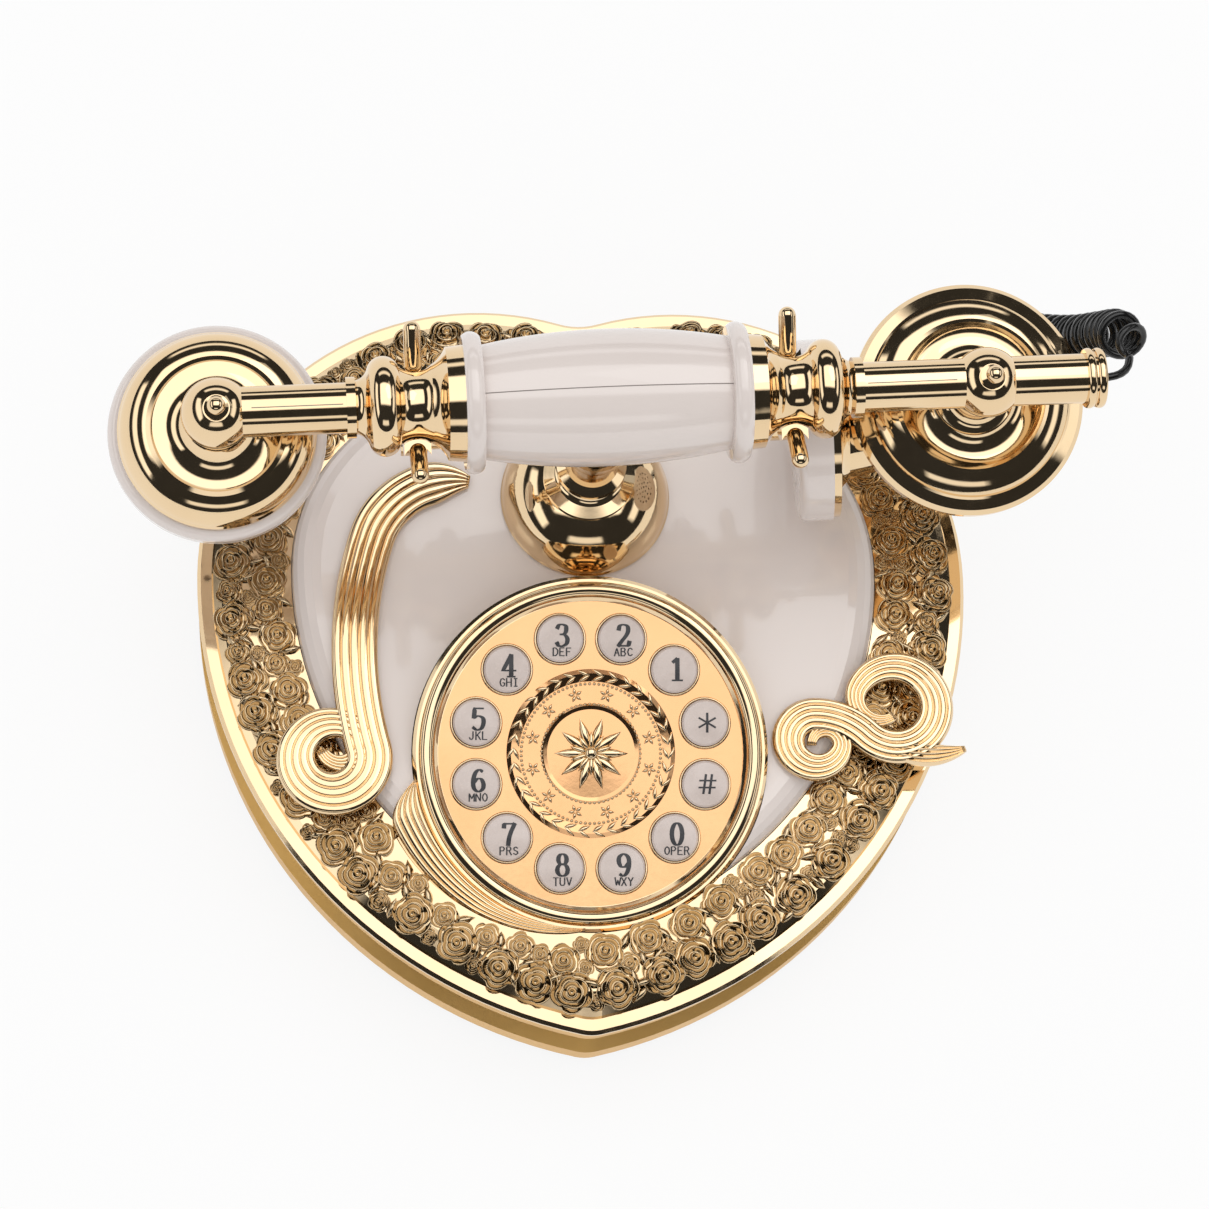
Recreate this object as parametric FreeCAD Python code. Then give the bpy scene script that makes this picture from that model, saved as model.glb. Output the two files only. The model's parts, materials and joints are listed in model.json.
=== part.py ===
import FreeCAD, Part
import math
import os

from FreeCAD import Placement, Rotation, Vector

# French-style cradle phone on a heart-shaped base. Millimetres, +Z up, X to the right and Y to the
# back as seen by the person who dials. The model is drawn about the middle of the heart's widest line
# and moved at the end, so that the origin is at the bottom centre of the phone's box.

# Fits
FIT = 0.2                   # gap round a piece that is set into another
RUN = 0.4                   # gap between pieces that move past each other
SNUG = 0.05                 # gap of a pin in its hole

# Heart plan, four arcs with a rounded notch and tip
LOBE_RADIUS = 79.5
LOBE_OFFSET = 28.0          # lobe centre from the middle line
SIDE_RADIUS = 133.5
NOTCH_ROUND = 19.0
TIP_ROUND = 12.0

# Base heights and walls
FOOT_HEIGHT = 2.5
FOOT_RADIUS = 7.0
FOOT_ANGLES = (30.0, -60.0)  # on each lobe
PLATE_THICK = 2.5
PLATE_INSET = 1.0
MOULDING_HEIGHT = 28.0
MOULDING_DEPTH = 7.0        # from the outline to the inner face of the moulding
LOWER_BEAD = 8.0
UPPER_BEAD = 9.0
UPPER_INSET = 1.4
COVE_DEPTH = 4.4
COVE_SLOPE = 3.0
EDGE_ROUND = 1.0
RIM_THICK = 3.0
FLANGE_WIDTH = 4.0
ROSE_RISE = 5.4
BAND_WIDTH = 26.0           # flange and roses together
BAND_WALL = 2.0
BAND_LEDGE = 5.0            # width of the rim's seat on the moulding
DOME_LIP = 0.4              # dome edge above the roses
DOME_RISE = 6.2
DOME_SHOULDER = 8.0
DOME_WALL = 2.2
DOME_FLANGE = 6.0
DOME_FLANGE_THICK = 1.8

# Screws in the bottom
BOSS_RADIUS = 4.0
BOSS_INSET = 13.0
BOSS_ANGLES = (18.0, 72.0)  # on each lobe
SCREW_RADIUS = 1.5
SCREW_HEAD_RADIUS = 3.0
SCREW_HEAD_HEIGHT = 1.5
SCREW_LENGTH = 14.0
COUNTERBORE = 1.7

# Dial
DIAL_Y = -56.1
DIAL_Z = 51.0
DIAL_TILT = 14.0
BEZEL_RADIUS = 48.5
BEZEL_SKIRT = 19.0
BEZEL_WALL = 2.2
BEZEL_CROWN = 3.0
BEZEL_LEDGE = 1.4
PLATE_RADIUS = 41.5
DIAL_PLATE_THICK = 2.6
BUTTON_RADIUS = 6.35
BUTTON_CIRCLE = 32.3
BUTTON_PROUD = 1.6
BUTTON_CROWN = 0.5
BUTTON_FLANGE = 1.0
BUTTON_FLANGE_THICK = 1.2
BUTTON_STEM_RADIUS = 4.0
BUTTON_STEM = 1.5
BUTTON_TRAVEL = 1.5
MEDALLION_RADIUS = 23.0
MEDALLION_CORE = 13.0
MEDALLION_THICK = 0.9
MAT_THICK = 1.6
MAT_PAD = 0.9
BOARD_THICK = 1.6
POST_RADIUS = 2.2
POST_CIRCLE = 19.0
KEYPAD_SCREW_RADIUS = 1.0
KEYPAD_SCREW_DEPTH = 4.0
KEYPAD_SCREW_HEAD = 1.2
BUTTON_NAMES = ("star", "1", "2", "3", "4", "5", "6", "7", "8", "9", "0", "hash")
FIRST_BUTTON = 15.0         # angle of the star button from the right

# Pedestal and cradle
PEDESTAL_Y = 19.0
PEDESTAL_HEIGHT = 44.0
FOOT_BELL_RADIUS = 23.5
BELL_HEIGHT = 15.5
COLUMN_RADIUS = 6.6
PLUNGER_RADIUS = 3.2
PLUNGER_END = 20.0          # plunger below the dome's top
CRADLE_YAW = 2.9            # cradle and handset stand a little askew on the base
BAR_RADIUS = 3.6
BAR_DROP = 23.2             # bar below the handset's axis
HUB_RADIUS = 7.5
COLLAR_RADIUS = 5.0
FORK_POST_RADIUS = 3.2
SADDLE_WIDTH = 7.0
SADDLE_THICK = 1.8
SADDLE_ANGLE = 78.0
PRONG_RADIUS = 2.3
PRONG_START = 12.0
PRONG_DROP = 2.5
PRONG_LENGTH = 9.5
PRONG_RISE_ANGLE = 30.0
HOOK_TRAVEL = 4.0
SPRING_RADIUS = 5.5
SPRING_WALL = 1.4
SPRING_COLLAR = 2.0
BRACKET_LENGTH = 44.0
BRACKET_WIDTH = 20.0
BRACKET_THICK = 1.6
BRACKET_DROP = 25.0         # bracket below the dome's top
PEDESTAL_SCREW_CIRCLE = 15.0
PEDESTAL_SCREW_RADIUS = 1.5
PEDESTAL_SCREW_DEPTH = 5.0

# Handset
HANDSET_Z = 125.0
HANDSET_ROLL = 12.0         # the handset lies rolled towards the front in the forks
GRIP_HALF = 37.1
GRIP_MIDDLE_RADIUS = 18.0
GRIP_END_RADIUS = 15.0
BEAD_RADIUS = 18.6
BEAD_WIDTH = 4.8
GRIP_BORE = 12.2
TENON_RADIUS = 10.8
TENON_LENGTH = 8.0
NECK_FLANGE_RADIUS = 15.2
NECK_FLANGE_WIDTH = 4.3
WAIST_RADIUS = 8.6
WAIST_OFFSET = 12.3         # waist from the grip's end
WAIST_HOLLOW = 6.0          # radius of the hollow round the waist
WAIST_HALF = 4.2
BULGE_RADIUS = 13.0
BULGE_OFFSET = 21.4
NECK_LENGTH = 30.4
NECK_COLLAR_RADIUS = 8.0
NECK_COLLAR_WIDTH = 2.4
STICK_RADIUS = 6.6
WIRE_BORE = 3.0
BALL_REACH = 101.0          # ball centres from the middle of the grip
BALL_RADIUS = 9.3
BALL_FLAT = 0.7
FINIAL_RADIUS = 2.4
ARM_END = 127.0
GLAND_LENGTH = 4.8
GLAND_RADIUS = 8.0

# Receiver
STEM_RADIUS = 7.0
CAP_RADIUS = 26.5
CAP_STEP_RADIUS = 17.6
CAP_TOP = 15.5              # below the ball centre
CAP_EDGE = 32.0
CAP_WALL = 2.0
CUP_RADIUS = 29.2
CUP_DEPTH = 10.5
CUP_FACE_THICK = 3.0
EAR_HOLE_RADIUS = 1.1
EAR_RINGS = (6.0, 11.5)
RECEIVER_CAPSULE_RADIUS = 18.0
RECEIVER_CAPSULE_HEIGHT = 6.0

# Transmitter and mouthpiece
BELL_RADIUS = 31.5
BELL_EDGE = 31.5            # below the ball centre
BELL_RING_RADIUS = 27.0
BELL_DISH_RADIUS = 20.0
BELL_TOP = 19.5
BELL_WALL = 2.0
BELL_LEDGE = 1.8            # seat of the elbow's plate above the bell's edge
ELBOW_RADIUS = 12.5
ELBOW_DEPTH = 30.0
ELBOW_FOOT = 2.0
ELBOW_ROUND = 4.0
HORN_ROOT = 98.0            # along the handset, where the horn leaves the elbow
HORN_FRONT = 3.8            # horn towards the front of the handset's middle plane
HORN_DROP = 44.3            # horn axis below the handset's axis at its root
HORN_DIP = 5.0
HORN_RADIUS = 10.5
HORN_THROAT = 14.0
HORN_FLARE = 28.0           # along the horn, where it flares out
HORN_FLARE_RADIUS = 14.2
HORN_END_RADIUS = 21.8
HORN_LENGTH = 31.0
HORN_WALL = 2.0
HORN_COLLAR_RADIUS = 24.0
HORN_COLLAR_WIDTH = 2.0
DRUM_RADIUS = 24.8
DRUM_LENGTH = 9.4
DRUM_ROUND = 2.5
DRUM_WALL = 2.4
MOUTH_HOLE_RADIUS = 1.1
MOUTH_RINGS = (5.0, 10.0, 15.0)
MICROPHONE_RADIUS = 9.0
MICROPHONE_HEIGHT = 6.0

# Ribbon ornaments on the dome
LEFT_RIBBON_WIDTH = 12.0
RIGHT_RIBBON_WIDTH = 9.0
RIBBON_THICK = 2.6
RIBBON_CLEAR = 0.6          # underside above the dome
RIBBON_PIN_RADIUS = 1.8

# Inside the base
MAIN_BOARD = (68.0, 44.0)
MAIN_BOARD_Y = 30.0
MAIN_BOARD_POST = 7.0
BALLAST = (84.0, 40.0, 4.0)
BALLAST_Y = -48.0
RINGER_RADIUS = 12.0
RINGER_HEIGHT = 8.0
RINGER_PLACE = (58.0, 4.0)
SWITCH = (8.0, 12.0, 9.0)
SWITCH_X = 10.8

# Jacks in the base's wall and the handset's cord
CORD_JACK_ANGLE = 45.0      # on the right lobe, for the handset
LINE_JACK_ANGLE = 90.0      # on the left lobe, for the line
JACK_Z = 14.0
JACK_WIDTH = 14.0
JACK_HEIGHT = 11.0
JACK_DEPTH = 14.0
JACK_INSET = 3.0
SOCKET_WIDTH = 9.0
SOCKET_HEIGHT = 7.0
SOCKET_DEPTH = 9.0
PLUG_PROUD = 3.0
WIRE_RADIUS = 1.1
CURL_RADIUS = 5.4           # middle of the wire from the middle of the curls
CURL_PITCH = 4.5
CURL_LEAD = 11.0            # plain wire before the first and after the last curl
CURL_RAMP = 12.5            # length of the first and the last curl, which open and close
# The middle line of the curls between the gland and the plug, chosen by hand
CORD_POINTS = ((138.6, 26.2, 124.6), (140.6, 36.0, 121.0), (139.6, 44.0, 112.5), (138.6, 48.5, 99.5),
               (132.5, 54.0, 82.0), (123.5, 63.0, 62.5), (114.5, 73.0, 44.0), (109.5, 77.5, 24.0),
               (100.5, 72.5, 14.0))

# Heights worked out from the sizes above
PLATE_Z = FOOT_HEIGHT
MOULDING_Z = PLATE_Z + PLATE_THICK
RIM_Z = MOULDING_Z + MOULDING_HEIGHT
FLANGE_Z = RIM_Z + RIM_THICK
BAND_Z = FLANGE_Z + ROSE_RISE
DOME_Z = BAND_Z + DOME_LIP + DOME_RISE
PEDESTAL_TOP = DOME_Z + PEDESTAL_HEIGHT
FORK_REACH = GRIP_HALF + WAIST_OFFSET
BRACKET_Z = DOME_Z - BRACKET_DROP
STEM_TOP = STICK_RADIUS + RUN
X_AXIS = Vector(1, 0, 0)
Z_AXIS = Vector(0, 0, 1)

pieces = {}


# Drawing helpers
def polar(radius, degrees, z=0.0, centre=(0.0, 0.0)):
    turn = math.radians(degrees)
    return Vector(centre[0] + radius * math.cos(turn), centre[1] + radius * math.sin(turn), z)


def arc_about(centre, radius, first, last, z):
    middle = 0.5 * (first + last)
    points = [polar(radius, turn, z, centre) for turn in (first, middle, last)]
    return Part.Arc(*points).toShape()


def heart_wire(inset, z):
    lobe = LOBE_RADIUS - inset
    side = SIDE_RADIUS - inset
    side_x = LOBE_OFFSET + LOBE_RADIUS - SIDE_RADIUS
    notch = NOTCH_ROUND + inset
    notch_y = math.sqrt((lobe + notch) ** 2 - LOBE_OFFSET ** 2)
    tip_y = -math.sqrt((side - TIP_ROUND) ** 2 - side_x ** 2)
    notch_turn = math.degrees(math.atan2(notch_y, -LOBE_OFFSET))
    tip_turn = math.degrees(math.atan2(tip_y, -side_x))
    edges = [
        arc_about((LOBE_OFFSET, 0), lobe, notch_turn, 0, z),
        arc_about((side_x, 0), side, 0, tip_turn, z),
        arc_about((0, tip_y), TIP_ROUND, tip_turn, -180 - tip_turn, z),
        arc_about((-side_x, 0), side, -180 - tip_turn, -180, z),
        arc_about((-LOBE_OFFSET, 0), lobe, 180, 180 - notch_turn, z),
        arc_about((0, notch_y), notch, -notch_turn, notch_turn - 180, z),
    ]
    return Part.Wire(edges)


def heart_solid(sections):
    return Part.makeLoft([heart_wire(inset, z) for inset, z in sections], True, True)


def heart_point(inset, degrees, z, side=1):
    spot = polar(LOBE_RADIUS - inset, degrees, z, (LOBE_OFFSET, 0))
    return Vector(side * spot.x, spot.y, z)


def tip_point(inset, z):
    side_x = LOBE_OFFSET + LOBE_RADIUS - SIDE_RADIUS
    return Vector(0, -math.sqrt((SIDE_RADIUS - inset) ** 2 - side_x ** 2), z)


def outline(points):
    # A point is (r, z) for a line, or (r, z, r, z) for an arc through the first to the second.
    edges = []
    here = Vector(points[0][0], 0, points[0][1])
    for point in list(points[1:]) + [points[0]]:
        end = Vector(point[-2], 0, point[-1])
        if len(point) == 4:
            edges.append(Part.Arc(here, Vector(point[0], 0, point[1]), end).toShape())
        elif (end - here).Length > 1e-7:
            edges.append(Part.makeLine(here, end))
        here = end
    return Part.Wire(edges)


def turned(points, sweep=360.0):
    return Part.Face(outline(points)).revolve(Vector(), Z_AXIS, sweep)


def rod(radius, start, end):
    return Part.makeCylinder(radius, (end - start).Length, start, end - start)


def block(size, middle_x, middle_y, bottom):
    length, width, height = size
    return Part.makeBox(length, width, height, Vector(middle_x - length / 2, middle_y - width / 2, bottom))


def joined(shapes):
    whole = shapes[0]
    for shape in shapes[1:]:
        whole = whole.fuse(shape)
    return whole.removeSplitter()


def cut_by(shape, tools):
    for tool in tools:
        shape = shape.cut(tool)
    return shape


def moved(shape, placement):
    copy = shape.copy()
    copy.Placement = placement.multiply(copy.Placement)
    return copy


def solids_of(shape):
    return shape.Solids[0] if len(shape.Solids) == 1 else Part.makeCompound(shape.Solids)


def add(name, shape):
    pieces[name] = solids_of(shape)


# Frames of the dial, the cradle and the handset
dial_frame = Placement(Vector(0, DIAL_Y, DIAL_Z), Rotation(X_AXIS, DIAL_TILT))
cradle_frame = Placement(Vector(0, PEDESTAL_Y, HANDSET_Z), Rotation(Z_AXIS, CRADLE_YAW))
handset_frame = cradle_frame.multiply(Placement(Vector(), Rotation(X_AXIS, HANDSET_ROLL)))
horn_way = Vector(-math.cos(math.radians(HORN_DIP)), 0, -math.sin(math.radians(HORN_DIP)))
horn_frame = Placement(Vector(HORN_ROOT, -HORN_FRONT, -HORN_DROP), Rotation(Z_AXIS, horn_way))
along_frame = Placement(Vector(), Rotation(Z_AXIS, X_AXIS))


# Base
def boss_places():
    places = [heart_point(BOSS_INSET, turn, 0, side) for side in (1, -1) for turn in BOSS_ANGLES]
    return places + [tip_point(BOSS_INSET, 0)]


def jack_frame(side):
    angle = CORD_JACK_ANGLE if side > 0 else LINE_JACK_ANGLE
    spot = heart_point(0, angle, JACK_Z, side)
    return Placement(spot, Rotation(Z_AXIS, angle if side > 0 else 180 - angle))


def jack_block(width, height, outer, inner):
    # outer and inner count inwards from the base's outline
    return Part.makeBox(inner - outer, width, height, Vector(-inner, -width / 2, -height / 2))


def base_moulding():
    top = MOULDING_HEIGHT
    profile = [
        (EDGE_ROUND, 0), (0, EDGE_ROUND), (0, LOWER_BEAD), (COVE_DEPTH, LOWER_BEAD + COVE_SLOPE),
        (COVE_DEPTH, top - UPPER_BEAD - COVE_SLOPE), (UPPER_INSET, top - UPPER_BEAD),
        (UPPER_INSET, top - EDGE_ROUND), (UPPER_INSET + EDGE_ROUND, top),
    ]
    outer = heart_solid([(inset, MOULDING_Z + rise) for inset, rise in profile])
    hollow = heart_solid([(MOULDING_DEPTH, MOULDING_Z - 1), (MOULDING_DEPTH, RIM_Z + 1)])
    windows = []
    for side in (1, -1):
        window = jack_block(JACK_WIDTH + FIT, JACK_HEIGHT + FIT, -1, JACK_DEPTH)
        windows.append(moved(window, jack_frame(side)))
    return cut_by(outer.cut(hollow), windows)


def bottom_plate():
    plate = heart_solid([(PLATE_INSET, PLATE_Z), (PLATE_INSET, MOULDING_Z)])
    posts = []
    for x, y in board_post_places():
        top = Vector(x, y, MOULDING_Z + MAIN_BOARD_POST)
        posts.append(rod(POST_RADIUS, Vector(x, y, MOULDING_Z - 1), top))
    holes = []
    for spot in boss_places():
        low = Vector(spot.x, spot.y, PLATE_Z)
        holes.append(rod(SCREW_RADIUS + FIT, low, low + Z_AXIS * PLATE_THICK))
        holes.append(rod(SCREW_HEAD_RADIUS + FIT, low, low + Z_AXIS * COUNTERBORE))
    return cut_by(joined([plate] + posts), holes)


def board_post_places():
    reach_x = MAIN_BOARD[0] / 2 - 2 * POST_RADIUS
    reach_y = MAIN_BOARD[1] / 2 - 2 * POST_RADIUS
    return [(sx * reach_x, MAIN_BOARD_Y + sy * reach_y) for sx in (1, -1) for sy in (1, -1)]


def rubber_feet():
    inset = BOSS_INSET + 2 * FOOT_RADIUS
    spots = [heart_point(inset, turn, 0, side) for side in (1, -1) for turn in FOOT_ANGLES]
    profile = [(0, 0), (FOOT_RADIUS - EDGE_ROUND, 0), (FOOT_RADIUS, EDGE_ROUND), (FOOT_RADIUS, FOOT_HEIGHT),
               (0, FOOT_HEIGHT)]
    return Part.makeCompound([moved(turned(profile), Placement(spot, Rotation())) for spot in spots])


def bottom_screws():
    head = PLATE_Z + COUNTERBORE - SCREW_HEAD_HEIGHT
    profile = [(0, head), (SCREW_HEAD_RADIUS, head), (SCREW_HEAD_RADIUS, head + SCREW_HEAD_HEIGHT),
               (SCREW_RADIUS, head + SCREW_HEAD_HEIGHT), (SCREW_RADIUS, head + SCREW_LENGTH),
               (0, head + SCREW_LENGTH)]
    return Part.makeCompound([moved(turned(profile), Placement(spot, Rotation())) for spot in boss_places()])


def rose_profile():
    # The band of roses rises from the flange to the dome in a quarter of an ellipse.
    steps = [math.radians(turn) for turn in (0, 12, 28, 46, 66, 90)]
    width = BAND_WIDTH - FLANGE_WIDTH
    low = FLANGE_Z + EDGE_ROUND / 8
    return [(FLANGE_WIDTH + width * (1 - math.cos(step)), low + ROSE_RISE * math.sin(step)) for step in steps]


def dial_hole():
    start = Vector(0, 0, -2 * BEZEL_SKIRT)
    return moved(Part.makeCylinder(BEZEL_RADIUS + FIT, 4 * BEZEL_SKIRT, start), dial_frame)


def rim_band():
    edge = [(EDGE_ROUND, RIM_Z), (0, RIM_Z + EDGE_ROUND), (0, FLANGE_Z - EDGE_ROUND), (EDGE_ROUND, FLANGE_Z)]
    roses = rose_profile()
    outer = heart_solid(edge + roses)
    under = [(BAND_LEDGE, RIM_Z - 1), (BAND_LEDGE + EDGE_ROUND / 8, FLANGE_Z - BAND_WALL)]
    under += [(inset + EDGE_ROUND, z - BAND_WALL) for inset, z in roses[1:]]
    opening = heart_solid([(BAND_WIDTH, RIM_Z - 1), (BAND_WIDTH, BAND_Z + DOME_RISE)])
    band = cut_by(outer, [heart_solid(under), opening, dial_hole()])
    bosses = []
    drills = []
    for spot in boss_places():
        low = Vector(spot.x, spot.y, MOULDING_Z)
        high = Vector(spot.x, spot.y, FLANGE_Z + EDGE_ROUND)
        bosses.append(rod(BOSS_RADIUS, low, high))
        drills.append(rod(SCREW_RADIUS + SNUG, low, low + Z_AXIS * SCREW_LENGTH))
    return cut_by(joined([band] + bosses), drills)


def dome_profile(depth):
    # depth counts inwards from the outside of the dome's wall
    edge = BAND_WIDTH + FIT + depth
    low = BAND_Z + DOME_LIP
    rise = DOME_RISE - depth
    steps = [math.radians(turn) for turn in (0, 18, 36, 54, 72, 90)]
    return [(edge + DOME_SHOULDER * (1 - math.cos(step)), low + rise * math.sin(step)) for step in steps]


def dome_shell():
    flange_z = rose_profile()[-2][1] - BAND_WALL - FIT - DOME_FLANGE_THICK
    wall = heart_solid([(BAND_WIDTH + FIT, flange_z)] + dome_profile(0))
    flange = heart_solid([(BAND_WIDTH - DOME_FLANGE, flange_z),
                          (BAND_WIDTH - DOME_FLANGE, flange_z + DOME_FLANGE_THICK)])
    hollow = heart_solid([(BAND_WIDTH + FIT + DOME_WALL, flange_z - 1)] + dome_profile(DOME_WALL))
    holes = [Part.makeCylinder(PLUNGER_RADIUS + RUN, 2 * DOME_Z, Vector(0, PEDESTAL_Y, 0))]
    for spot in pedestal_screw_places():
        holes.append(rod(PEDESTAL_SCREW_RADIUS + FIT, spot - Z_AXIS * DOME_Z, spot + Z_AXIS))
    holes += [moved(window, Placement(pin, Rotation())) for pin, window in ribbon_pin_holes()]
    return cut_by(joined([wall, flange]), [hollow, dial_hole()] + holes)


# Dial
def dial_bezel():
    inner = PLATE_RADIUS + FIT
    ledge = -DIAL_PLATE_THICK
    wall = BEZEL_RADIUS - BEZEL_WALL
    step = BEZEL_RADIUS - 1.6
    middle = 0.5 * (step + inner)
    profile = [
        (BEZEL_RADIUS, -BEZEL_SKIRT), (BEZEL_RADIUS, 0), (BEZEL_RADIUS - 0.9, 0.9), (step, 0.9),
        (middle, BEZEL_CROWN, inner + 0.9, 1.2), (inner, 0.4), (inner, ledge), (inner - BEZEL_LEDGE, ledge),
        (inner - BEZEL_LEDGE, ledge - 2), (wall, ledge - 2), (wall, -BEZEL_SKIRT),
    ]
    return moved(turned(profile), dial_frame)


def button_turn(index):
    return FIRST_BUTTON + index * 360.0 / len(BUTTON_NAMES)


def button_places(z=0.0):
    return [polar(BUTTON_CIRCLE, button_turn(index), z) for index in range(len(BUTTON_NAMES))]


def board_z():
    stem_end = -DIAL_PLATE_THICK - FIT - BUTTON_FLANGE_THICK - BUTTON_STEM
    return stem_end - BUTTON_TRAVEL - FIT - MAT_PAD - MAT_THICK


def post_places(z):
    return [polar(POST_CIRCLE, turn, z) for turn in (45, 135, 225, 315)]


def dial_plate():
    plate = Part.makeCylinder(PLATE_RADIUS, DIAL_PLATE_THICK, Vector(0, 0, -DIAL_PLATE_THICK))
    holes = [Part.makeCylinder(BUTTON_RADIUS + RUN, 3 * DIAL_PLATE_THICK, spot)
             for spot in button_places(-2 * DIAL_PLATE_THICK)]
    low = board_z()
    posts = [rod(POST_RADIUS, spot, Vector(spot.x, spot.y, -DIAL_PLATE_THICK / 2))
             for spot in post_places(low)]
    drill = KEYPAD_SCREW_RADIUS + SNUG
    drills = [Part.makeCylinder(drill, KEYPAD_SCREW_DEPTH, spot) for spot in post_places(low)]
    return moved(cut_by(joined([cut_by(plate, holes)] + posts), drills), dial_frame)


def dial_medallion():
    edge = MEDALLION_RADIUS
    core = MEDALLION_CORE
    low = MEDALLION_THICK
    profile = [(0, 0), (edge, 0), (edge, low), (edge - 1.2, low + 0.5), (edge - 3.4, low), (core + 0.6, low),
               (core, low + 0.5), (core - 1.0, low + 0.2), (0, low + 0.6)]
    return moved(turned(profile), dial_frame)


def button(index):
    top = BUTTON_PROUD
    under = -DIAL_PLATE_THICK - FIT
    low = under - BUTTON_FLANGE_THICK
    flange = BUTTON_RADIUS + BUTTON_FLANGE
    profile = [
        (0, low - BUTTON_STEM), (BUTTON_STEM_RADIUS, low - BUTTON_STEM), (BUTTON_STEM_RADIUS, low),
        (flange, low), (flange, under),
        (BUTTON_RADIUS, under), (BUTTON_RADIUS, top - BUTTON_CROWN), (BUTTON_RADIUS - BUTTON_CROWN, top),
        (0, top + BUTTON_CROWN),
    ]
    spot = button_places()[index]
    return moved(turned(profile), dial_frame.multiply(Placement(spot, Rotation())))


def keypad_mat():
    low = board_z()
    sheet = Part.makeCylinder(PLATE_RADIUS - 2 * FIT - BEZEL_LEDGE, MAT_THICK, Vector(0, 0, low))
    pads = [Part.makeCylinder(BUTTON_STEM_RADIUS, MAT_THICK + MAT_PAD, spot) for spot in button_places(low)]
    holes = [Part.makeCylinder(POST_RADIUS + FIT, 3 * MAT_THICK, spot)
             for spot in post_places(low - MAT_THICK)]
    return moved(cut_by(joined([sheet] + pads), holes), dial_frame)


def keypad_board():
    low = board_z() - BOARD_THICK
    board = Part.makeCylinder(PLATE_RADIUS - 2 * FIT - BEZEL_LEDGE, BOARD_THICK, Vector(0, 0, low))
    holes = [Part.makeCylinder(KEYPAD_SCREW_RADIUS + FIT, 3 * BOARD_THICK, spot)
             for spot in post_places(low - BOARD_THICK)]
    return moved(cut_by(board, holes), dial_frame)


def keypad_screws():
    low = board_z() - BOARD_THICK
    end = BOARD_THICK + KEYPAD_SCREW_DEPTH - RUN
    head = 2 * KEYPAD_SCREW_RADIUS
    screw = turned([(0, -KEYPAD_SCREW_HEAD), (head, -KEYPAD_SCREW_HEAD), (head, 0), (KEYPAD_SCREW_RADIUS, 0),
                    (KEYPAD_SCREW_RADIUS, end), (0, end)])
    places = [dial_frame.multiply(Placement(spot, Rotation())) for spot in post_places(low)]
    return Part.makeCompound([moved(screw, place) for place in places])


# Pedestal and cradle
def pedestal_screw_places():
    return [polar(PEDESTAL_SCREW_CIRCLE, turn, DOME_Z, (0, PEDESTAL_Y)) for turn in (90, 210, 330)]


def pedestal():
    bore = PLUNGER_RADIUS + RUN
    foot = FOOT_BELL_RADIUS
    bell = BELL_HEIGHT
    shaft = COLUMN_RADIUS
    top = PEDESTAL_HEIGHT
    ring = shaft + 6.0
    profile = [
        (bore, 0), (foot - 0.4, 0), (foot, 1.0), (foot - 0.4, 2.0),
        (0.82 * foot, 0.66 * bell, shaft + 4.6, bell), (ring, bell + 0.8), (ring, bell + 2.4),
        (shaft + 3.0, bell + 3.4), (shaft + 1.6, bell + 4.4, shaft + 1.0, bell + 8.0),
        (shaft + 3.0, bell + 9.4), (shaft + 3.0, bell + 11.6), (shaft + 0.8, bell + 13.0), (shaft, top - 4.0),
        (shaft + 2.0, top - 3.0), (shaft + 2.0, top), (bore, top),
    ]
    drills = [rod(PEDESTAL_SCREW_RADIUS + SNUG, spot - Z_AXIS, spot + Z_AXIS * PEDESTAL_SCREW_DEPTH)
              for spot in pedestal_screw_places()]
    return cut_by(moved(turned(profile), Placement(Vector(0, PEDESTAL_Y, DOME_Z), Rotation())), drills)


def pedestal_screws():
    low = DOME_Z - DOME_WALL
    profile = [(0, -SCREW_HEAD_HEIGHT), (SCREW_HEAD_RADIUS, -SCREW_HEAD_HEIGHT), (SCREW_HEAD_RADIUS, 0),
               (PEDESTAL_SCREW_RADIUS, 0), (PEDESTAL_SCREW_RADIUS, DOME_WALL + PEDESTAL_SCREW_DEPTH - 1),
               (0, DOME_WALL + PEDESTAL_SCREW_DEPTH - 1)]
    screw = turned(profile)
    return Part.makeCompound([moved(screw, Placement(Vector(spot.x, spot.y, low), Rotation()))
                              for spot in pedestal_screw_places()])


def cradle_bar():
    # Bar, hub and plunger in one; local origin on the handset's axis over the pedestal
    bar = rod(BAR_RADIUS, Vector(-FORK_REACH - SADDLE_WIDTH / 2, 0, -BAR_DROP),
              Vector(FORK_REACH + SADDLE_WIDTH / 2, 0, -BAR_DROP))
    low = PEDESTAL_TOP + RUN - HANDSET_Z
    hub_top = -BAR_DROP + BAR_RADIUS
    hub = turned([(0, low), (HUB_RADIUS, low), (HUB_RADIUS, -BAR_DROP - BAR_RADIUS),
                  (BAR_RADIUS + 1, hub_top), (0, hub_top)])
    plunger = rod(PLUNGER_RADIUS, Vector(0, 0, DOME_Z - PLUNGER_END - HANDSET_Z), Vector(0, 0, low + 1))
    collar_z = spring_top() - HANDSET_Z
    collar = rod(SPRING_RADIUS, Vector(0, 0, collar_z), Vector(0, 0, collar_z + SPRING_COLLAR))
    return moved(joined([bar, hub, plunger, collar]), cradle_frame)


def spring_top():
    return DOME_Z - DOME_WALL - HOOK_TRAVEL - SPRING_COLLAR - 3 * RUN


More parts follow.
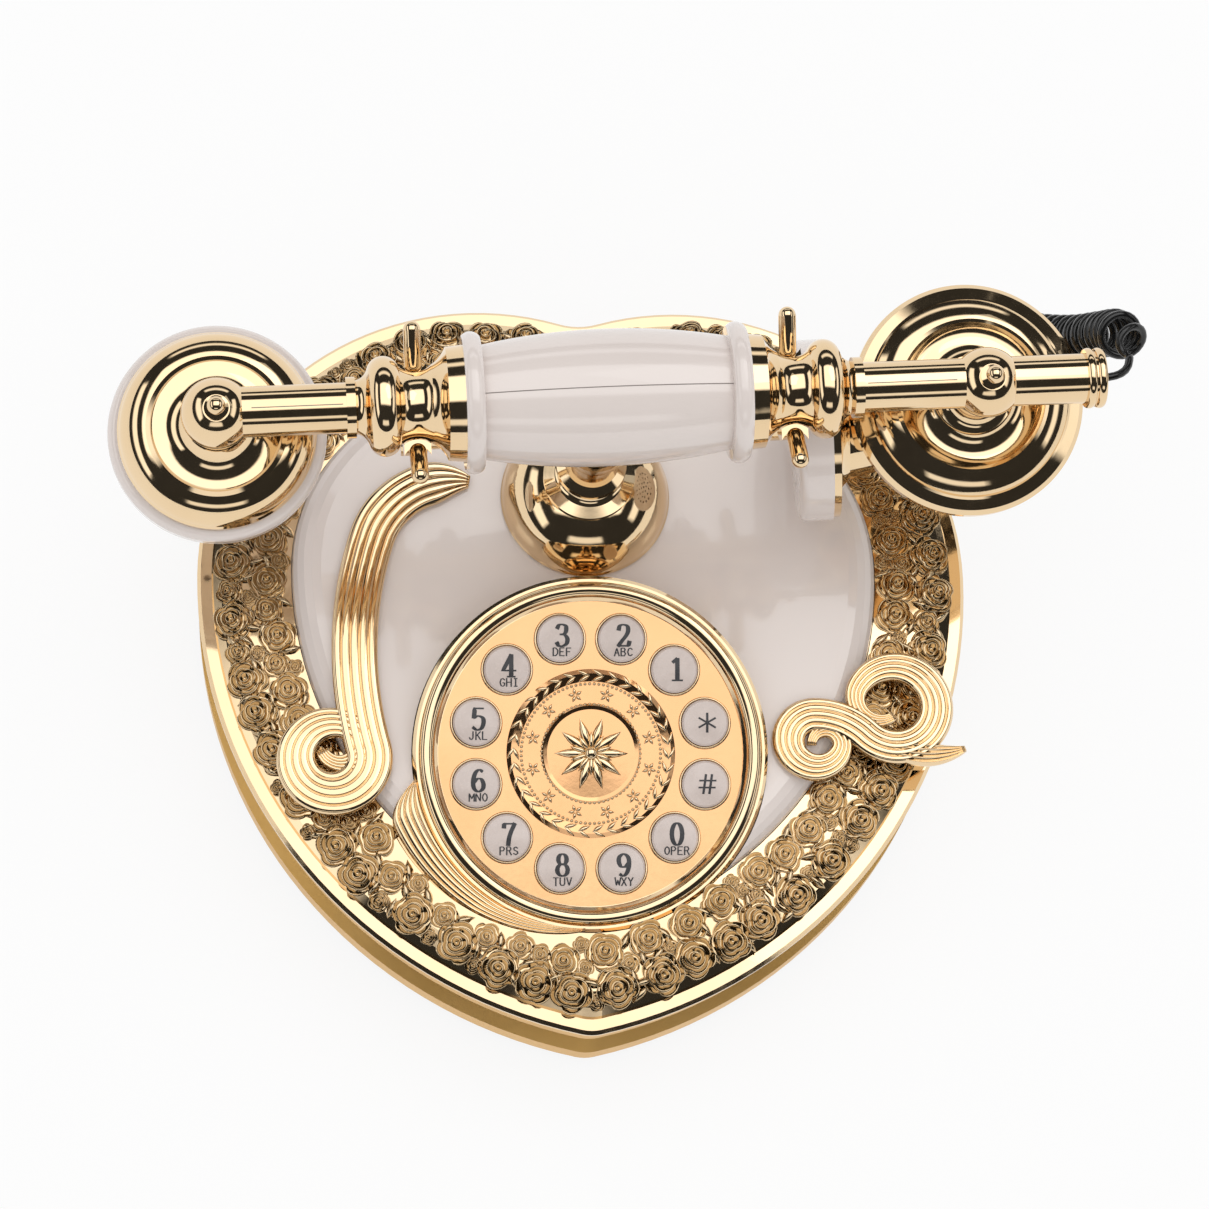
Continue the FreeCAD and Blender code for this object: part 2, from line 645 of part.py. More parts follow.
def fork(side):
    hollow = WAIST_RADIUS + WAIST_HOLLOW
    inner = WAIST_HOLLOW - RUN
    outer = inner - SADDLE_THICK
    half = SADDLE_WIDTH / 2

    def at(radius, along):
        return hollow - math.sqrt(radius ** 2 - along ** 2)

    def spot(along, drop):
        return Vector(along, 0, -drop)

    edges = [
        Part.Arc(spot(-half, at(inner, half)), spot(0, at(inner, 0)), spot(half, at(inner, half))).toShape(),
        Part.makeLine(spot(half, at(inner, half)), spot(half, at(outer, half))),
        Part.Arc(spot(half, at(outer, half)), spot(0, at(outer, 0)), spot(-half, at(outer, half))).toShape(),
        Part.makeLine(spot(-half, at(outer, half)), spot(-half, at(inner, half))),
    ]
    band = Part.Face(Part.Wire(edges))
    band.rotate(Vector(), X_AXIS, -SADDLE_ANGLE)
    saddle = band.revolve(Vector(), X_AXIS, 2 * SADDLE_ANGLE)
    collar = rod(COLLAR_RADIUS, Vector(-half, 0, -BAR_DROP), Vector(half, 0, -BAR_DROP))
    post = rod(FORK_POST_RADIUS, Vector(0, 0, -BAR_DROP), Vector(0, 0, -at(inner, 0) - SADDLE_THICK / 2))
    shapes = [saddle, collar, post]
    rise = math.radians(PRONG_RISE_ANGLE)
    for way in (1, -1):
        start = Vector(0, way * PRONG_START, -PRONG_DROP)
        tip = start + Vector(0, way * math.cos(rise), math.sin(rise)) * PRONG_LENGTH
        shapes.append(rod(PRONG_RADIUS, start, tip))
        shapes += [Part.makeSphere(PRONG_RADIUS, end) for end in (start, tip)]
    bore = rod(BAR_RADIUS + SNUG, Vector(-2 * half, 0, -BAR_DROP), Vector(2 * half, 0, -BAR_DROP))
    whole = joined(shapes).cut(bore)
    return moved(whole, cradle_frame.multiply(Placement(Vector(side * FORK_REACH, 0, 0), Rotation())))


def hook_bracket():
    plate = block((BRACKET_LENGTH, BRACKET_WIDTH, BRACKET_THICK), 0, PEDESTAL_Y, BRACKET_Z)
    legs = []
    for side in (1, -1):
        x = side * (BRACKET_LENGTH / 2 - 1.5 * POST_RADIUS)
        end = Vector(x, PEDESTAL_Y, DOME_Z - DOME_WALL)
        legs.append(rod(POST_RADIUS, Vector(x, PEDESTAL_Y, BRACKET_Z), end))
    return joined([plate] + legs)


def hook_spring():
    low = BRACKET_Z + BRACKET_THICK
    tube = Part.makeCylinder(SPRING_RADIUS, spring_top() - low, Vector(0, PEDESTAL_Y, low))
    core = Part.makeCylinder(SPRING_RADIUS - SPRING_WALL, 2 * DOME_Z, Vector(0, PEDESTAL_Y, 0))
    return tube.cut(core)


def hook_switch():
    return block(SWITCH, SWITCH_X, PEDESTAL_Y, BRACKET_Z + BRACKET_THICK)


# Handset
def neck_profile():
    # (u, r) from the grip's end outwards
    hollow = WAIST_RADIUS + WAIST_HOLLOW
    shoulder = hollow - math.sqrt(WAIST_HOLLOW ** 2 - WAIST_HALF ** 2)
    collar = NECK_LENGTH - NECK_COLLAR_WIDTH
    bulge_end = 0.5 * (BULGE_OFFSET + collar)
    return [
        (0, NECK_FLANGE_RADIUS), (NECK_FLANGE_WIDTH, NECK_FLANGE_RADIUS - 0.4),
        (WAIST_OFFSET - WAIST_HALF - 1.4, shoulder + 1.0, WAIST_OFFSET - WAIST_HALF, shoulder),
        (WAIST_OFFSET, WAIST_RADIUS, WAIST_OFFSET + WAIST_HALF, shoulder),
        (BULGE_OFFSET, BULGE_RADIUS, bulge_end, shoulder - 0.4),
        (bulge_end + 1.4, STICK_RADIUS + 1.2, collar, STICK_RADIUS + 0.4),
        (collar, NECK_COLLAR_RADIUS), (NECK_LENGTH, NECK_COLLAR_RADIUS), (NECK_LENGTH, STICK_RADIUS),
    ]


def arm_solid(side, end):
    # Turned along the handset's axis: tenon, neck and stick
    start = GRIP_HALF
    points = [(0, start - TENON_LENGTH), (TENON_RADIUS, start - TENON_LENGTH), (TENON_RADIUS, start)]
    for step in neck_profile():
        if len(step) == 4:
            points.append((step[1], start + step[0], step[3], start + step[2]))
        else:
            points.append((step[1], start + step[0]))
    points += [(STICK_RADIUS, end), (0, end)]
    stick = moved(turned(points), along_frame)
    if side < 0:
        stick.rotate(Vector(), Z_AXIS, 180)
    ball_x = side * BALL_REACH
    ball = Part.makeSphere(BALL_RADIUS, Vector(ball_x, 0, 0))
    top = Part.makeBox(40, 40, 20, Vector(ball_x - 20, -20, BALL_RADIUS - BALL_FLAT))
    bore = rod(WIRE_BORE, Vector(side * (start - TENON_LENGTH), 0, 0), Vector(ball_x, 0, 0))
    drop = rod(WIRE_BORE, Vector(ball_x, 0, 0), Vector(ball_x, 0, -2 * BALL_RADIUS))
    return cut_by(joined([stick, ball]), [top, bore, drop])


def halves(shape):
    reach = 4 * BALL_REACH
    front = Part.makeBox(reach, reach, reach, Vector(-reach / 2, -reach, -reach / 2))
    return shape.common(front), shape.cut(front)


def grip_solid():
    half = GRIP_HALF
    groove = half - BEAD_WIDTH
    bead = BEAD_RADIUS - 1.2
    tenon = TENON_RADIUS + SNUG
    shoulder = half - TENON_LENGTH - FIT
    points = [
        (tenon, -half), (bead, -half), (BEAD_RADIUS, -half + BEAD_WIDTH / 2, bead, -groove),
        (GRIP_END_RADIUS, -groove + 0.3),
        (GRIP_MIDDLE_RADIUS, 0, GRIP_END_RADIUS, groove - 0.3), (bead, groove),
        (BEAD_RADIUS, half - BEAD_WIDTH / 2, bead, half), (tenon, half), (tenon, shoulder),
        (GRIP_BORE, shoulder), (GRIP_BORE, -shoulder), (tenon, -shoulder),
    ]
    return moved(turned(points), along_frame)


def ball_finials():
    low = BALL_RADIUS - BALL_FLAT
    base = turned([(0, low), (3.2, low), (3.2, low + 0.8), (1.6, low + 1.4), (1.6, low + 3.0),
                   (0, low + 3.0)])
    knob = base.fuse(Part.makeSphere(FINIAL_RADIUS, Vector(0, 0, low + 1.6 + FINIAL_RADIUS)))
    return Part.makeCompound([at_ball(knob, side) for side in (1, -1)])


def cord_gland():
    low = ARM_END
    high = ARM_END + GLAND_LENGTH
    middle = 0.5 * (low + high)
    groove = GLAND_RADIUS - 0.9
    side = GLAND_RADIUS - 0.4
    profile = [(0, low), (side, low), (GLAND_RADIUS, 0.5 * (low + middle), side, middle - 0.3),
               (groove, middle - 0.2), (groove, middle + 0.2), (side, middle + 0.3),
               (GLAND_RADIUS, 0.5 * (middle + high), side, high), (0, high)]
    return moved(moved(turned(profile), along_frame), handset_frame)


def at_ball(shape, side):
    return moved(shape, handset_frame.multiply(Placement(Vector(side * BALL_REACH, 0, 0), Rotation())))


def ball_seat():
    return Part.makeSphere(BALL_RADIUS + SNUG)


def receiver_cap():
    step = CAP_STEP_RADIUS
    middle = CAP_TOP + 6.0
    profile = [
        (WIRE_BORE, -STEM_TOP), (STEM_RADIUS, -STEM_TOP), (STEM_RADIUS, -CAP_TOP + 3.5),
        (STEM_RADIUS + 1.2, -CAP_TOP, step - 0.6, -middle + 1.8), (step, -middle + 0.6),
        (step + 1.2, -middle),
        (0.5 * (step + CAP_RADIUS) + 1.6, -middle - 2.6, CAP_RADIUS - 0.5, -CAP_EDGE + 3.6),
        (CAP_RADIUS, -CAP_EDGE + 2.4), (CAP_RADIUS, -CAP_EDGE), (CAP_RADIUS - CAP_WALL, -CAP_EDGE),
        (CAP_RADIUS - CAP_WALL, -CAP_EDGE + 2.0),
        (step, -middle - 2.4), (STEM_RADIUS, -CAP_TOP - 4.6), (WIRE_BORE, -CAP_TOP - 4.6),
    ]
    return at_ball(turned(profile).cut(ball_seat()), -1)


def ring_holes(rings, radius, low, high):
    holes = [rod(radius, Vector(0, 0, low), Vector(0, 0, high))]
    for ring in rings:
        count = int(round(2 * math.pi * ring / (5.0 * radius)))
        for index in range(count):
            spot = polar(ring, index * 360.0 / count)
            holes.append(rod(radius, spot + Z_AXIS * low, spot + Z_AXIS * high))
    return holes


def receiver_cup():
    edge = CUP_RADIUS
    top = -CAP_EDGE
    face = top - CUP_DEPTH
    floor = face + CUP_FACE_THICK
    spigot = CAP_RADIUS - CAP_WALL - FIT
    profile = [
        (spigot, top), (spigot, top + 1.4), (spigot - 1.6, top + 1.4), (spigot - 1.6, floor), (0, floor),
        (0, face + 1.4), (20.0, face + 0.6), (22.0, face, 24.5, face),
        (edge - 0.5, face + 2.0, edge, face + 4.6), (edge, top - 3.6),
        (edge - 0.7, top - 1.2, CAP_RADIUS + 0.2, top),
    ]
    cup = cut_by(turned(profile), ring_holes(EAR_RINGS, EAR_HOLE_RADIUS, face - 1, floor + 1))
    return at_ball(cup, -1)


def receiver_capsule():
    low = -CAP_EDGE - CUP_DEPTH + CUP_FACE_THICK
    high = low + RECEIVER_CAPSULE_HEIGHT
    profile = [(0, low), (RECEIVER_CAPSULE_RADIUS, low), (RECEIVER_CAPSULE_RADIUS, high - 2),
               (RECEIVER_CAPSULE_RADIUS - 5, high), (0, high)]
    return at_ball(turned(profile), -1)


def transmitter_bell():
    ring = BELL_RING_RADIUS
    dish = BELL_DISH_RADIUS
    edge = BELL_EDGE
    profile = [
        (WIRE_BORE, -STEM_TOP), (STEM_RADIUS, -STEM_TOP), (STEM_RADIUS, -BELL_TOP + 6.0),
        (STEM_RADIUS + 1.0, -BELL_TOP + 1.2, STEM_RADIUS + 3.6, -BELL_TOP),
        (STEM_RADIUS + 4.0, -BELL_TOP - 0.9),
        (0.5 * (STEM_RADIUS + dish) + 2.0, -BELL_TOP - 3.0, dish - 0.8, -BELL_TOP - 2.4),
        (dish, -BELL_TOP - 2.0), (dish + 1.0, -BELL_TOP - 2.4),
        (0.5 * (dish + ring) + 0.6, -BELL_TOP - 3.6, ring - 0.4, -BELL_TOP - 5.4),
        (ring, -BELL_TOP - 6.6), (ring + 0.6, -BELL_TOP - 6.9), (BELL_RADIUS - 1.2, -edge + 4.0),
        (BELL_RADIUS, -edge + 2.6),
        (BELL_RADIUS, -edge), (BELL_RADIUS - BELL_WALL, -edge), (BELL_RADIUS - BELL_WALL, -edge + BELL_LEDGE),
        (ring - 2.0, -edge + BELL_LEDGE), (ring - 3.0, -BELL_TOP - 8.4), (dish, -BELL_TOP - 5.2),
        (WIRE_BORE, -BELL_TOP - 5.2),
    ]
    return at_ball(turned(profile).cut(ball_seat()), 1)


def mouthpiece_elbow():
    top = -BELL_EDGE + BELL_LEDGE
    under = -BELL_EDGE + FIT
    edge = BELL_RADIUS - BELL_WALL - FIT
    bend = ELBOW_ROUND * (1 - math.sqrt(0.5))
    plate = turned([(0, top), (edge, top), (edge, under), (0, under)])
    end = under - ELBOW_DEPTH
    middle = 0.5 * (top + under)
    post = turned([(0, middle), (ELBOW_RADIUS + ELBOW_FOOT, middle), (ELBOW_RADIUS, under - ELBOW_FOOT),
                   (ELBOW_RADIUS, end + ELBOW_ROUND),
                   (ELBOW_RADIUS - bend, end + bend, ELBOW_RADIUS - ELBOW_ROUND, end), (0, end)])
    post = moved(post, Placement(Vector(HORN_ROOT - BALL_REACH, -HORN_FRONT, 0), Rotation()))
    whole = at_ball(joined([plate, post]), 1)
    bore = Part.makeCylinder(HORN_RADIUS + SNUG, 2 * HORN_LENGTH)
    return whole.cut(moved(bore, handset_frame.multiply(horn_frame)))


def mouthpiece_horn():
    inner = HORN_RADIUS - HORN_WALL
    bell = HORN_END_RADIUS - HORN_WALL
    end = HORN_LENGTH + HORN_COLLAR_WIDTH
    flare = HORN_FLARE_RADIUS
    profile = [
        (inner, FIT), (HORN_RADIUS, FIT), (HORN_RADIUS, HORN_THROAT), (flare, HORN_FLARE),
        (flare + 1.8, HORN_LENGTH - 1.2, HORN_END_RADIUS, HORN_LENGTH), (HORN_COLLAR_RADIUS, HORN_LENGTH),
        (HORN_COLLAR_RADIUS, end), (bell, end), (bell, HORN_LENGTH + FIT),
        (flare - HORN_WALL, HORN_FLARE + 1.0), (inner, HORN_THROAT + 1.0),
    ]
    return moved(turned(profile), handset_frame.multiply(horn_frame))


def mouthpiece_cap():
    low = HORN_LENGTH + HORN_COLLAR_WIDTH
    high = low + DRUM_LENGTH
    inner = DRUM_RADIUS - DRUM_WALL
    bend = DRUM_ROUND * (1 - math.sqrt(0.5))
    profile = [
        (inner, low), (DRUM_RADIUS, low), (DRUM_RADIUS, high - DRUM_ROUND),
        (DRUM_RADIUS - bend, high - bend, DRUM_RADIUS - DRUM_ROUND, high), (MOUTH_RINGS[-1] + 3, high),
        (0, high + 0.6),
        (0, high - DRUM_WALL), (inner, high - DRUM_WALL),
    ]
    drum = cut_by(turned(profile), ring_holes(MOUTH_RINGS, MOUTH_HOLE_RADIUS, low, high + 2))
    return moved(drum, handset_frame.multiply(horn_frame))


def microphone_capsule():
    high = HORN_LENGTH + HORN_COLLAR_WIDTH + DRUM_LENGTH - DRUM_WALL
    low = high - MICROPHONE_HEIGHT
    profile = [(0, low), (MICROPHONE_RADIUS - 1, low), (MICROPHONE_RADIUS, low + 1),
               (MICROPHONE_RADIUS, high), (0, high)]
    return moved(turned(profile), handset_frame.multiply(horn_frame))


# Ribbon ornaments, each a chain of arcs in plan: start, heading, then (radius, turn to the left)
LEFT_RIBBON = (((-65.0, -48.3), 150.0, ((10.0, 315.0), (110.0, -32.0), (24.0, -83.0))),)
RIGHT_RIBBON = (((69.0, -54.6), -110.0, ((7.5, -250.0), (20.0, -45.0), (11.5, 285.0))),
                ((78.0, -52.0), -30.0, ((30.0, 50.0),)))
LEFT_PINS = ((-63.6, -30.0), (-60.4, 0.0))
RIGHT_PINS = ((62.0, -44.6), (54.6, -51.0))


def ribbon_pin_holes():
    holes = []
    for x, y in LEFT_PINS + RIGHT_PINS:
        window = Part.makeCylinder(RIBBON_PIN_RADIUS + SNUG, 2 * DOME_Z, Vector(0, 0, -DOME_Z))
        holes.append((Vector(x, y, DOME_Z), window))
    return holes


def ribbon_sectors(start, heading, turns, width, low):
    here = Vector(start[0], start[1], 0)
    sectors = []
    for radius, turn in turns:
        side = 90.0 if turn > 0 else -90.0
        centre = here + polar(radius, heading + side)
        first = heading - side
        corner = Vector(radius - width / 2, 0, low)
        section = Part.makePlane(width, RIBBON_THICK, corner, Vector(0, -1, 0), X_AXIS)
        sector = section.revolve(Vector(), Z_AXIS, abs(turn))
        sector.rotate(Vector(), Z_AXIS, first if turn > 0 else first + turn)
        sector.translate(centre)
        sectors.append(sector)
        here = centre + polar(radius, first + turn)
        heading += turn
    return sectors


def ribbon(chains, width, pins):
    low = DOME_Z + RIBBON_CLEAR
    shapes = []
    for start, heading, turns in chains:
        shapes += ribbon_sectors(start, heading, turns, width, low)
    for x, y in pins:
        end = Vector(x, y, low + RIBBON_THICK / 2)
        shapes.append(rod(RIBBON_PIN_RADIUS, Vector(x, y, DOME_Z - DOME_WALL), end))
    return joined(shapes)


# Inside the base
def main_board():
    return block((MAIN_BOARD[0], MAIN_BOARD[1], BOARD_THICK), 0, MAIN_BOARD_Y, MOULDING_Z + MAIN_BOARD_POST)


def ballast_plate():
    return block(BALLAST, 0, BALLAST_Y, MOULDING_Z)


def ringer():
    profile = [(0, 0), (RINGER_RADIUS, 0), (RINGER_RADIUS, RINGER_HEIGHT - 1),
               (RINGER_RADIUS - 1, RINGER_HEIGHT), (0, RINGER_HEIGHT)]
    return moved(turned(profile), Placement(Vector(RINGER_PLACE[0], RINGER_PLACE[1], MOULDING_Z), Rotation()))


def jack(side):
    body = jack_block(JACK_WIDTH, JACK_HEIGHT, JACK_INSET, JACK_DEPTH)
    socket = jack_block(SOCKET_WIDTH, SOCKET_HEIGHT, 0, JACK_INSET + SOCKET_DEPTH)
    return moved(body.cut(socket), jack_frame(side))


def cord_plug():
    plug = jack_block(SOCKET_WIDTH - FIT, SOCKET_HEIGHT - FIT, -PLUG_PROUD, JACK_INSET + SOCKET_DEPTH - FIT)
    return moved(plug, jack_frame(1))


# Curly cord
def cord_route():
    gland = handset_frame.multVec(Vector(ARM_END + GLAND_LENGTH, 0, 0))
    plug = jack_frame(1).multVec(Vector(PLUG_PROUD, 0, 0))
    return [gland] + [Vector(*point) for point in CORD_POINTS] + [plug]


def route_line(points):
    # Straight runs with the largest tangent arcs that the runs allow, as short steps of (point, way)
    corners = []
    for before, here, after in zip(points, points[1:], points[2:]):
        into = (here - before).normalize()
        out = (after - here).normalize()
        half = 0.5 * into.getAngle(out)
        trim = 0.45 * min((here - before).Length, (after - here).Length)
        corners.append((here, into, out, half, trim))
    print("cord bend radii", [round(trim / math.tan(half), 1) for here, into, out, half, trim in corners])
    line = [points[0]]
    for here, into, out, half, trim in corners:
        radius = trim / math.tan(half)
        inward = (out - into).normalize()
        centre = here + inward * (radius / math.cos(half))
        count = max(4, int(math.degrees(2 * half) / 2))
        spoke = here - into * trim - centre
        axis = into.cross(out).normalize()
        for step in range(count + 1):
            line.append(centre + Rotation(axis, math.degrees(2 * half) * step / count).multVec(spoke))
    line.append(points[-1])
    return line


def walk(line, way_in):
    # Distance, point, way and two carried side directions along the line
    across = way_in.cross(Z_AXIS).normalize()
    far = 0.0
    steps = []
    for here, there in zip(line, line[1:]):
        way = (there - here).normalize()
        across = (across - way * across.dot(way)).normalize()
        steps.append((far, here, way, across))
        far += (there - here).Length
    steps.append((far, line[-1], steps[-1][2], steps[-1][3]))
    return steps


def on_walk(steps, far):
    for first, second in zip(steps, steps[1:]):
        if far <= second[0]:
            share = (far - first[0]) / max(second[0] - first[0], 1e-9)
            point = first[1] + (second[1] - first[1]) * share
            way = first[2]
            across = first[3]
            return point, across, way.cross(across), way
    point, way, across = steps[-1][1:]
    return point, across, way.cross(across), way


def curl_station(phase, curls, pitch, total):
    # Distance along the route at which a number of curls is done; the first and the last are longer
    if phase <= 1:
        return CURL_LEAD + phase * CURL_RAMP
    if phase >= curls - 1:
        return total - CURL_LEAD - (curls - phase) * CURL_RAMP
    return CURL_LEAD + CURL_RAMP + (phase - 1) * pitch


def curl_point(steps, phase, curls, pitch):
    far = curl_station(phase, curls, pitch, steps[-1][0])
    point, across, up, way = on_walk(steps, far)
    share = min(max(min(phase, curls - phase), 0.0), 1.0)
    radius = CURL_RADIUS * share * share * (3 - 2 * share)
    turn = 2 * math.pi * phase
    return point + across * (radius * math.cos(turn)) + up * (radius * math.sin(turn))


def biarc(start, way_in, end, way_out):
    chord = end - start
    both = way_in + way_out
    spread = 2 * (1 - way_in.dot(way_out))
    if spread < 1e-9:
        return [Part.makeLine(start, end)]
    lean = chord.dot(both)
    reach = (-lean + math.sqrt(lean * lean + spread * chord.dot(chord))) / spread
    middle = (start + end + (way_in - way_out) * reach) * 0.5
    return [arc_from(start, way_in, middle), arc_from(end, way_out * -1, middle, True)]


def arc_from(start, way, end, flip=False):
    chord = end - start
    along = Vector(chord).normalize()
    side = way - along * way.dot(along)
    if side.Length < 1e-6:
        return Part.makeLine(end, start) if flip else Part.makeLine(start, end)
    half = way.getAngle(along)
    top = (start + end) * 0.5 + side.normalize() * (0.5 * chord.Length * math.tan(half / 2))
    return Part.Arc(end, top, start).toShape() if flip else Part.Arc(start, top, end).toShape()


def handset_cord():
    route = cord_route()
    way_in = handset_frame.Rotation.multVec(X_AXIS)
    way_out = jack_frame(1).Rotation.multVec(X_AXIS) * -1
    steps = walk(route_line(route), way_in)
    total = steps[-1][0]
    room = total - 2 * CURL_LEAD - 2 * CURL_RAMP
    curls = int(room / CURL_PITCH) + 2
    pitch = room / (curls - 2)
    lead = 2 * WIRE_RADIUS
    stops = [route[0] + way_in * lead]
    ways = [way_in]
    for far in (0.5 * (lead + CURL_LEAD), 0.25 * lead + 0.75 * CURL_LEAD):
        stops.append(on_walk(steps, far)[0])
        ways.append(on_walk(steps, far)[3])
    for quarter in range(4 * curls + 1):
        phase = quarter / 4.0
        stops.append(curl_point(steps, phase, curls, pitch))
        ahead = curl_point(steps, phase + 0.01, curls, pitch)
        behind = curl_point(steps, phase - 0.01, curls, pitch)
        ways.append((ahead - behind).normalize())
    stops.append(route[-1] - way_out * lead)
    ways.append(way_out)
    edges = [Part.makeLine(route[0], stops[0])]
    for index in range(len(stops) - 1):
        edges += biarc(stops[index], ways[index], stops[index + 1], ways[index + 1])
    edges.append(Part.makeLine(stops[-1], route[-1]))
    path = Part.Wire(edges)
    section = Part.Wire(Part.makeCircle(WIRE_RADIUS, route[0], way_in))
    tube = path.makePipeShell([section], True, False)
    print("cord curls", curls, "wire length", round(path.Length))
    print("cord tightest bend", round(min(tight_radii(edges)), 2))
    print("cord least gap to itself", round(self_gap(edges), 2))
    return tube


def tight_radii(edges):
    return [edge.Curve.Radius for edge in edges if hasattr(edge.Curve, "Radius")]


def self_gap(edges):
    # Points along the wire; those further apart along it than a half curl must not come near each other
    points = []
    far = 0.0
    for edge in edges:
        count = max(2, int(edge.Length / 0.5))
        for index in range(count):
            share = edge.FirstParameter + (edge.LastParameter - edge.FirstParameter) * index / count
            points.append((far + edge.Length * index / count, edge.valueAt(share)))
        far += edge.Length
    near = 0.4 * 2 * math.pi * CURL_RADIUS
    reach = 3.2 * 2 * math.pi * CURL_RADIUS
    least = 1e9
    for index, (here, point) in enumerate(points):
        for there, other in points[index + 1:]:
            if there - here > reach:
                break
            if there - here > near:
                least = min(least, (point - other).Length)
    return least - 2 * WIRE_RADIUS


# All the pieces
add("base_moulding", base_moulding())
add("bottom_plate", bottom_plate())
add("rubber_feet", rubber_feet())
add("bottom_screws", bottom_screws())
add("rim_band", rim_band())
add("dome_shell", dome_shell())
add("dial_bezel", dial_bezel())
add("dial_plate", dial_plate())
add("dial_medallion", dial_medallion())
for number, name in enumerate(BUTTON_NAMES):
    add("button_" + name, button(number))
add("keypad_mat", keypad_mat())
add("keypad_board", keypad_board())
add("keypad_screws", keypad_screws())
add("left_ribbon", ribbon(LEFT_RIBBON, LEFT_RIBBON_WIDTH, LEFT_PINS))
add("right_ribbon", ribbon(RIGHT_RIBBON, RIGHT_RIBBON_WIDTH, RIGHT_PINS))
add("pedestal", pedestal())
add("pedestal_screws", pedestal_screws())
add("hook_bracket", hook_bracket())
add("hook_spring", hook_spring())
add("hook_switch", hook_switch())
add("main_board", main_board())
add("ballast_plate", ballast_plate())
add("ringer", ringer())
add("line_jack", jack(-1))
add("cord_jack", jack(1))
add("cradle_bar", cradle_bar())
add("left_fork", fork(-1))
add("right_fork", fork(1))
split_pieces = {"grip": grip_solid(), "left_arm": arm_solid(-1, BALL_REACH)}
split_pieces["right_arm"] = arm_solid(1, ARM_END)
for name, solid in split_pieces.items():
    front, back = halves(solid)
    add(name + "_front", moved(front, handset_frame))
    add(name + "_back", moved(back, handset_frame))
add("ball_finials", ball_finials())
add("cord_gland", cord_gland())
add("receiver_cap", receiver_cap())
add("receiver_cup", receiver_cup())
add("receiver_capsule", receiver_capsule())
add("transmitter_bell", transmitter_bell())
add("mouthpiece_elbow", mouthpiece_elbow())
add("mouthpiece_horn", mouthpiece_horn())
add("mouthpiece_cap", mouthpiece_cap())
add("microphone_capsule", microphone_capsule())
add("cord_plug", cord_plug())
add("handset_cord", handset_cord())

# The origin goes to the bottom centre of the phone's own box, without the cord and its plug.
CORD_NODES = ("handset_cord", "cord_plug")
box = Part.makeCompound([shape for name, shape in pieces.items() if name not in CORD_NODES]).BoundBox
shift = Vector(-box.Center.x, -box.Center.y, -box.ZMin)
os.makedirs("parts", exist_ok=True)
for name, shape in pieces.items():
    placed = shape.copy()
    placed.translate(shift)
    placed.exportStep("parts/" + name + ".step")
    if not placed.isValid():
        print("not valid:", name)
print("pieces", len(pieces), "shift", [round(value, 4) for value in shift], "box", round(box.XLength, 2),
      round(box.YLength, 2), round(box.ZLength, 2))
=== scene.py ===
import json
import math
import random

import bpy
from mathutils import Matrix, Vector


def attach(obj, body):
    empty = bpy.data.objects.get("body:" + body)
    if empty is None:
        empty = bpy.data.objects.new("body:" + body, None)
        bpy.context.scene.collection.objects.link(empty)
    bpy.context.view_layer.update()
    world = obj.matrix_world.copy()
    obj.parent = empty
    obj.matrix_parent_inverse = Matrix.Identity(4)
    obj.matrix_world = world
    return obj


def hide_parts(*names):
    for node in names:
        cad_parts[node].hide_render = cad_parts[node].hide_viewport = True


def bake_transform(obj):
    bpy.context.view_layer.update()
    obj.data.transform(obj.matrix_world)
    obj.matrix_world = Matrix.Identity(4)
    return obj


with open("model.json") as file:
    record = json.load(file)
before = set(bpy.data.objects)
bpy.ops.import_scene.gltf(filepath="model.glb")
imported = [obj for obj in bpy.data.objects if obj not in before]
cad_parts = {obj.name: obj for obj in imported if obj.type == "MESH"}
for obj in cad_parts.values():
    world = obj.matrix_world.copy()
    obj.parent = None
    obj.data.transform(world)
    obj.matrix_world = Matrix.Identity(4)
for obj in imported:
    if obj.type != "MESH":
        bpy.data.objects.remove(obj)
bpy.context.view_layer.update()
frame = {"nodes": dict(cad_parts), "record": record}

# French-style cradle phone on a heart-shaped base. Sizes are in millimetres, about the middle of the
# heart's widest line as in the part's source, and place() moves them to the part's frame in metres.
MM = 0.001
SHIFT = Vector((0.3963, 25.6208, 0.0))
UP = Vector((0, 0, 1))

# Heart plan and heights of the base
LOBE_RADIUS = 79.5
LOBE_OFFSET = 28.0
SIDE_RADIUS = 133.5
HEART_TIP_Y = -128.0
FLANGE_WIDTH = 4.0
BAND_WIDTH = 26.0
FLANGE_Z = 36.0
BAND_LIFT = 0.125            # the band's low edge above the flange
BAND_RISE = 5.4
DOME_Z = 48.0

# Dial
DIAL_Y = -56.1
DIAL_Z = 51.0
DIAL_TILT = 14.0
BEZEL_RADIUS = 48.5
BUTTON_RADIUS = 6.35
BUTTON_CIRCLE = 32.3
FIRST_BUTTON = 15.0
BUTTON_STEP = 30.0
BUTTON_PROUD = 1.6
BUTTON_CROWN = 0.5
SWEEP_START = 189.0
SWEEP_OPENING = 12.0
SWEEP_END = 268.0
SWEEP_WIDTH = 9.4
SWEEP_LEAST = 0.6
SWEEP_TAPER = 0.75
SWEEP_SECTION = 10.0         # width of its section before it is scaled
SWEEP_LAP = 0.4              # how far it goes under the dial ring and into the band
SWEEP_PROUD = 1.5
SWEEP_DEEP = 5.0
SWEEP_STEPS = 60
BUTTON_NAMES = ("star", "1", "2", "3", "4", "5", "6", "7", "8", "9", "0", "hash")

# Handset
HANDSET_Z = 125.0
PEDESTAL_Y = 19.0
CRADLE_YAW = 2.9
HANDSET_ROLL = 12.0

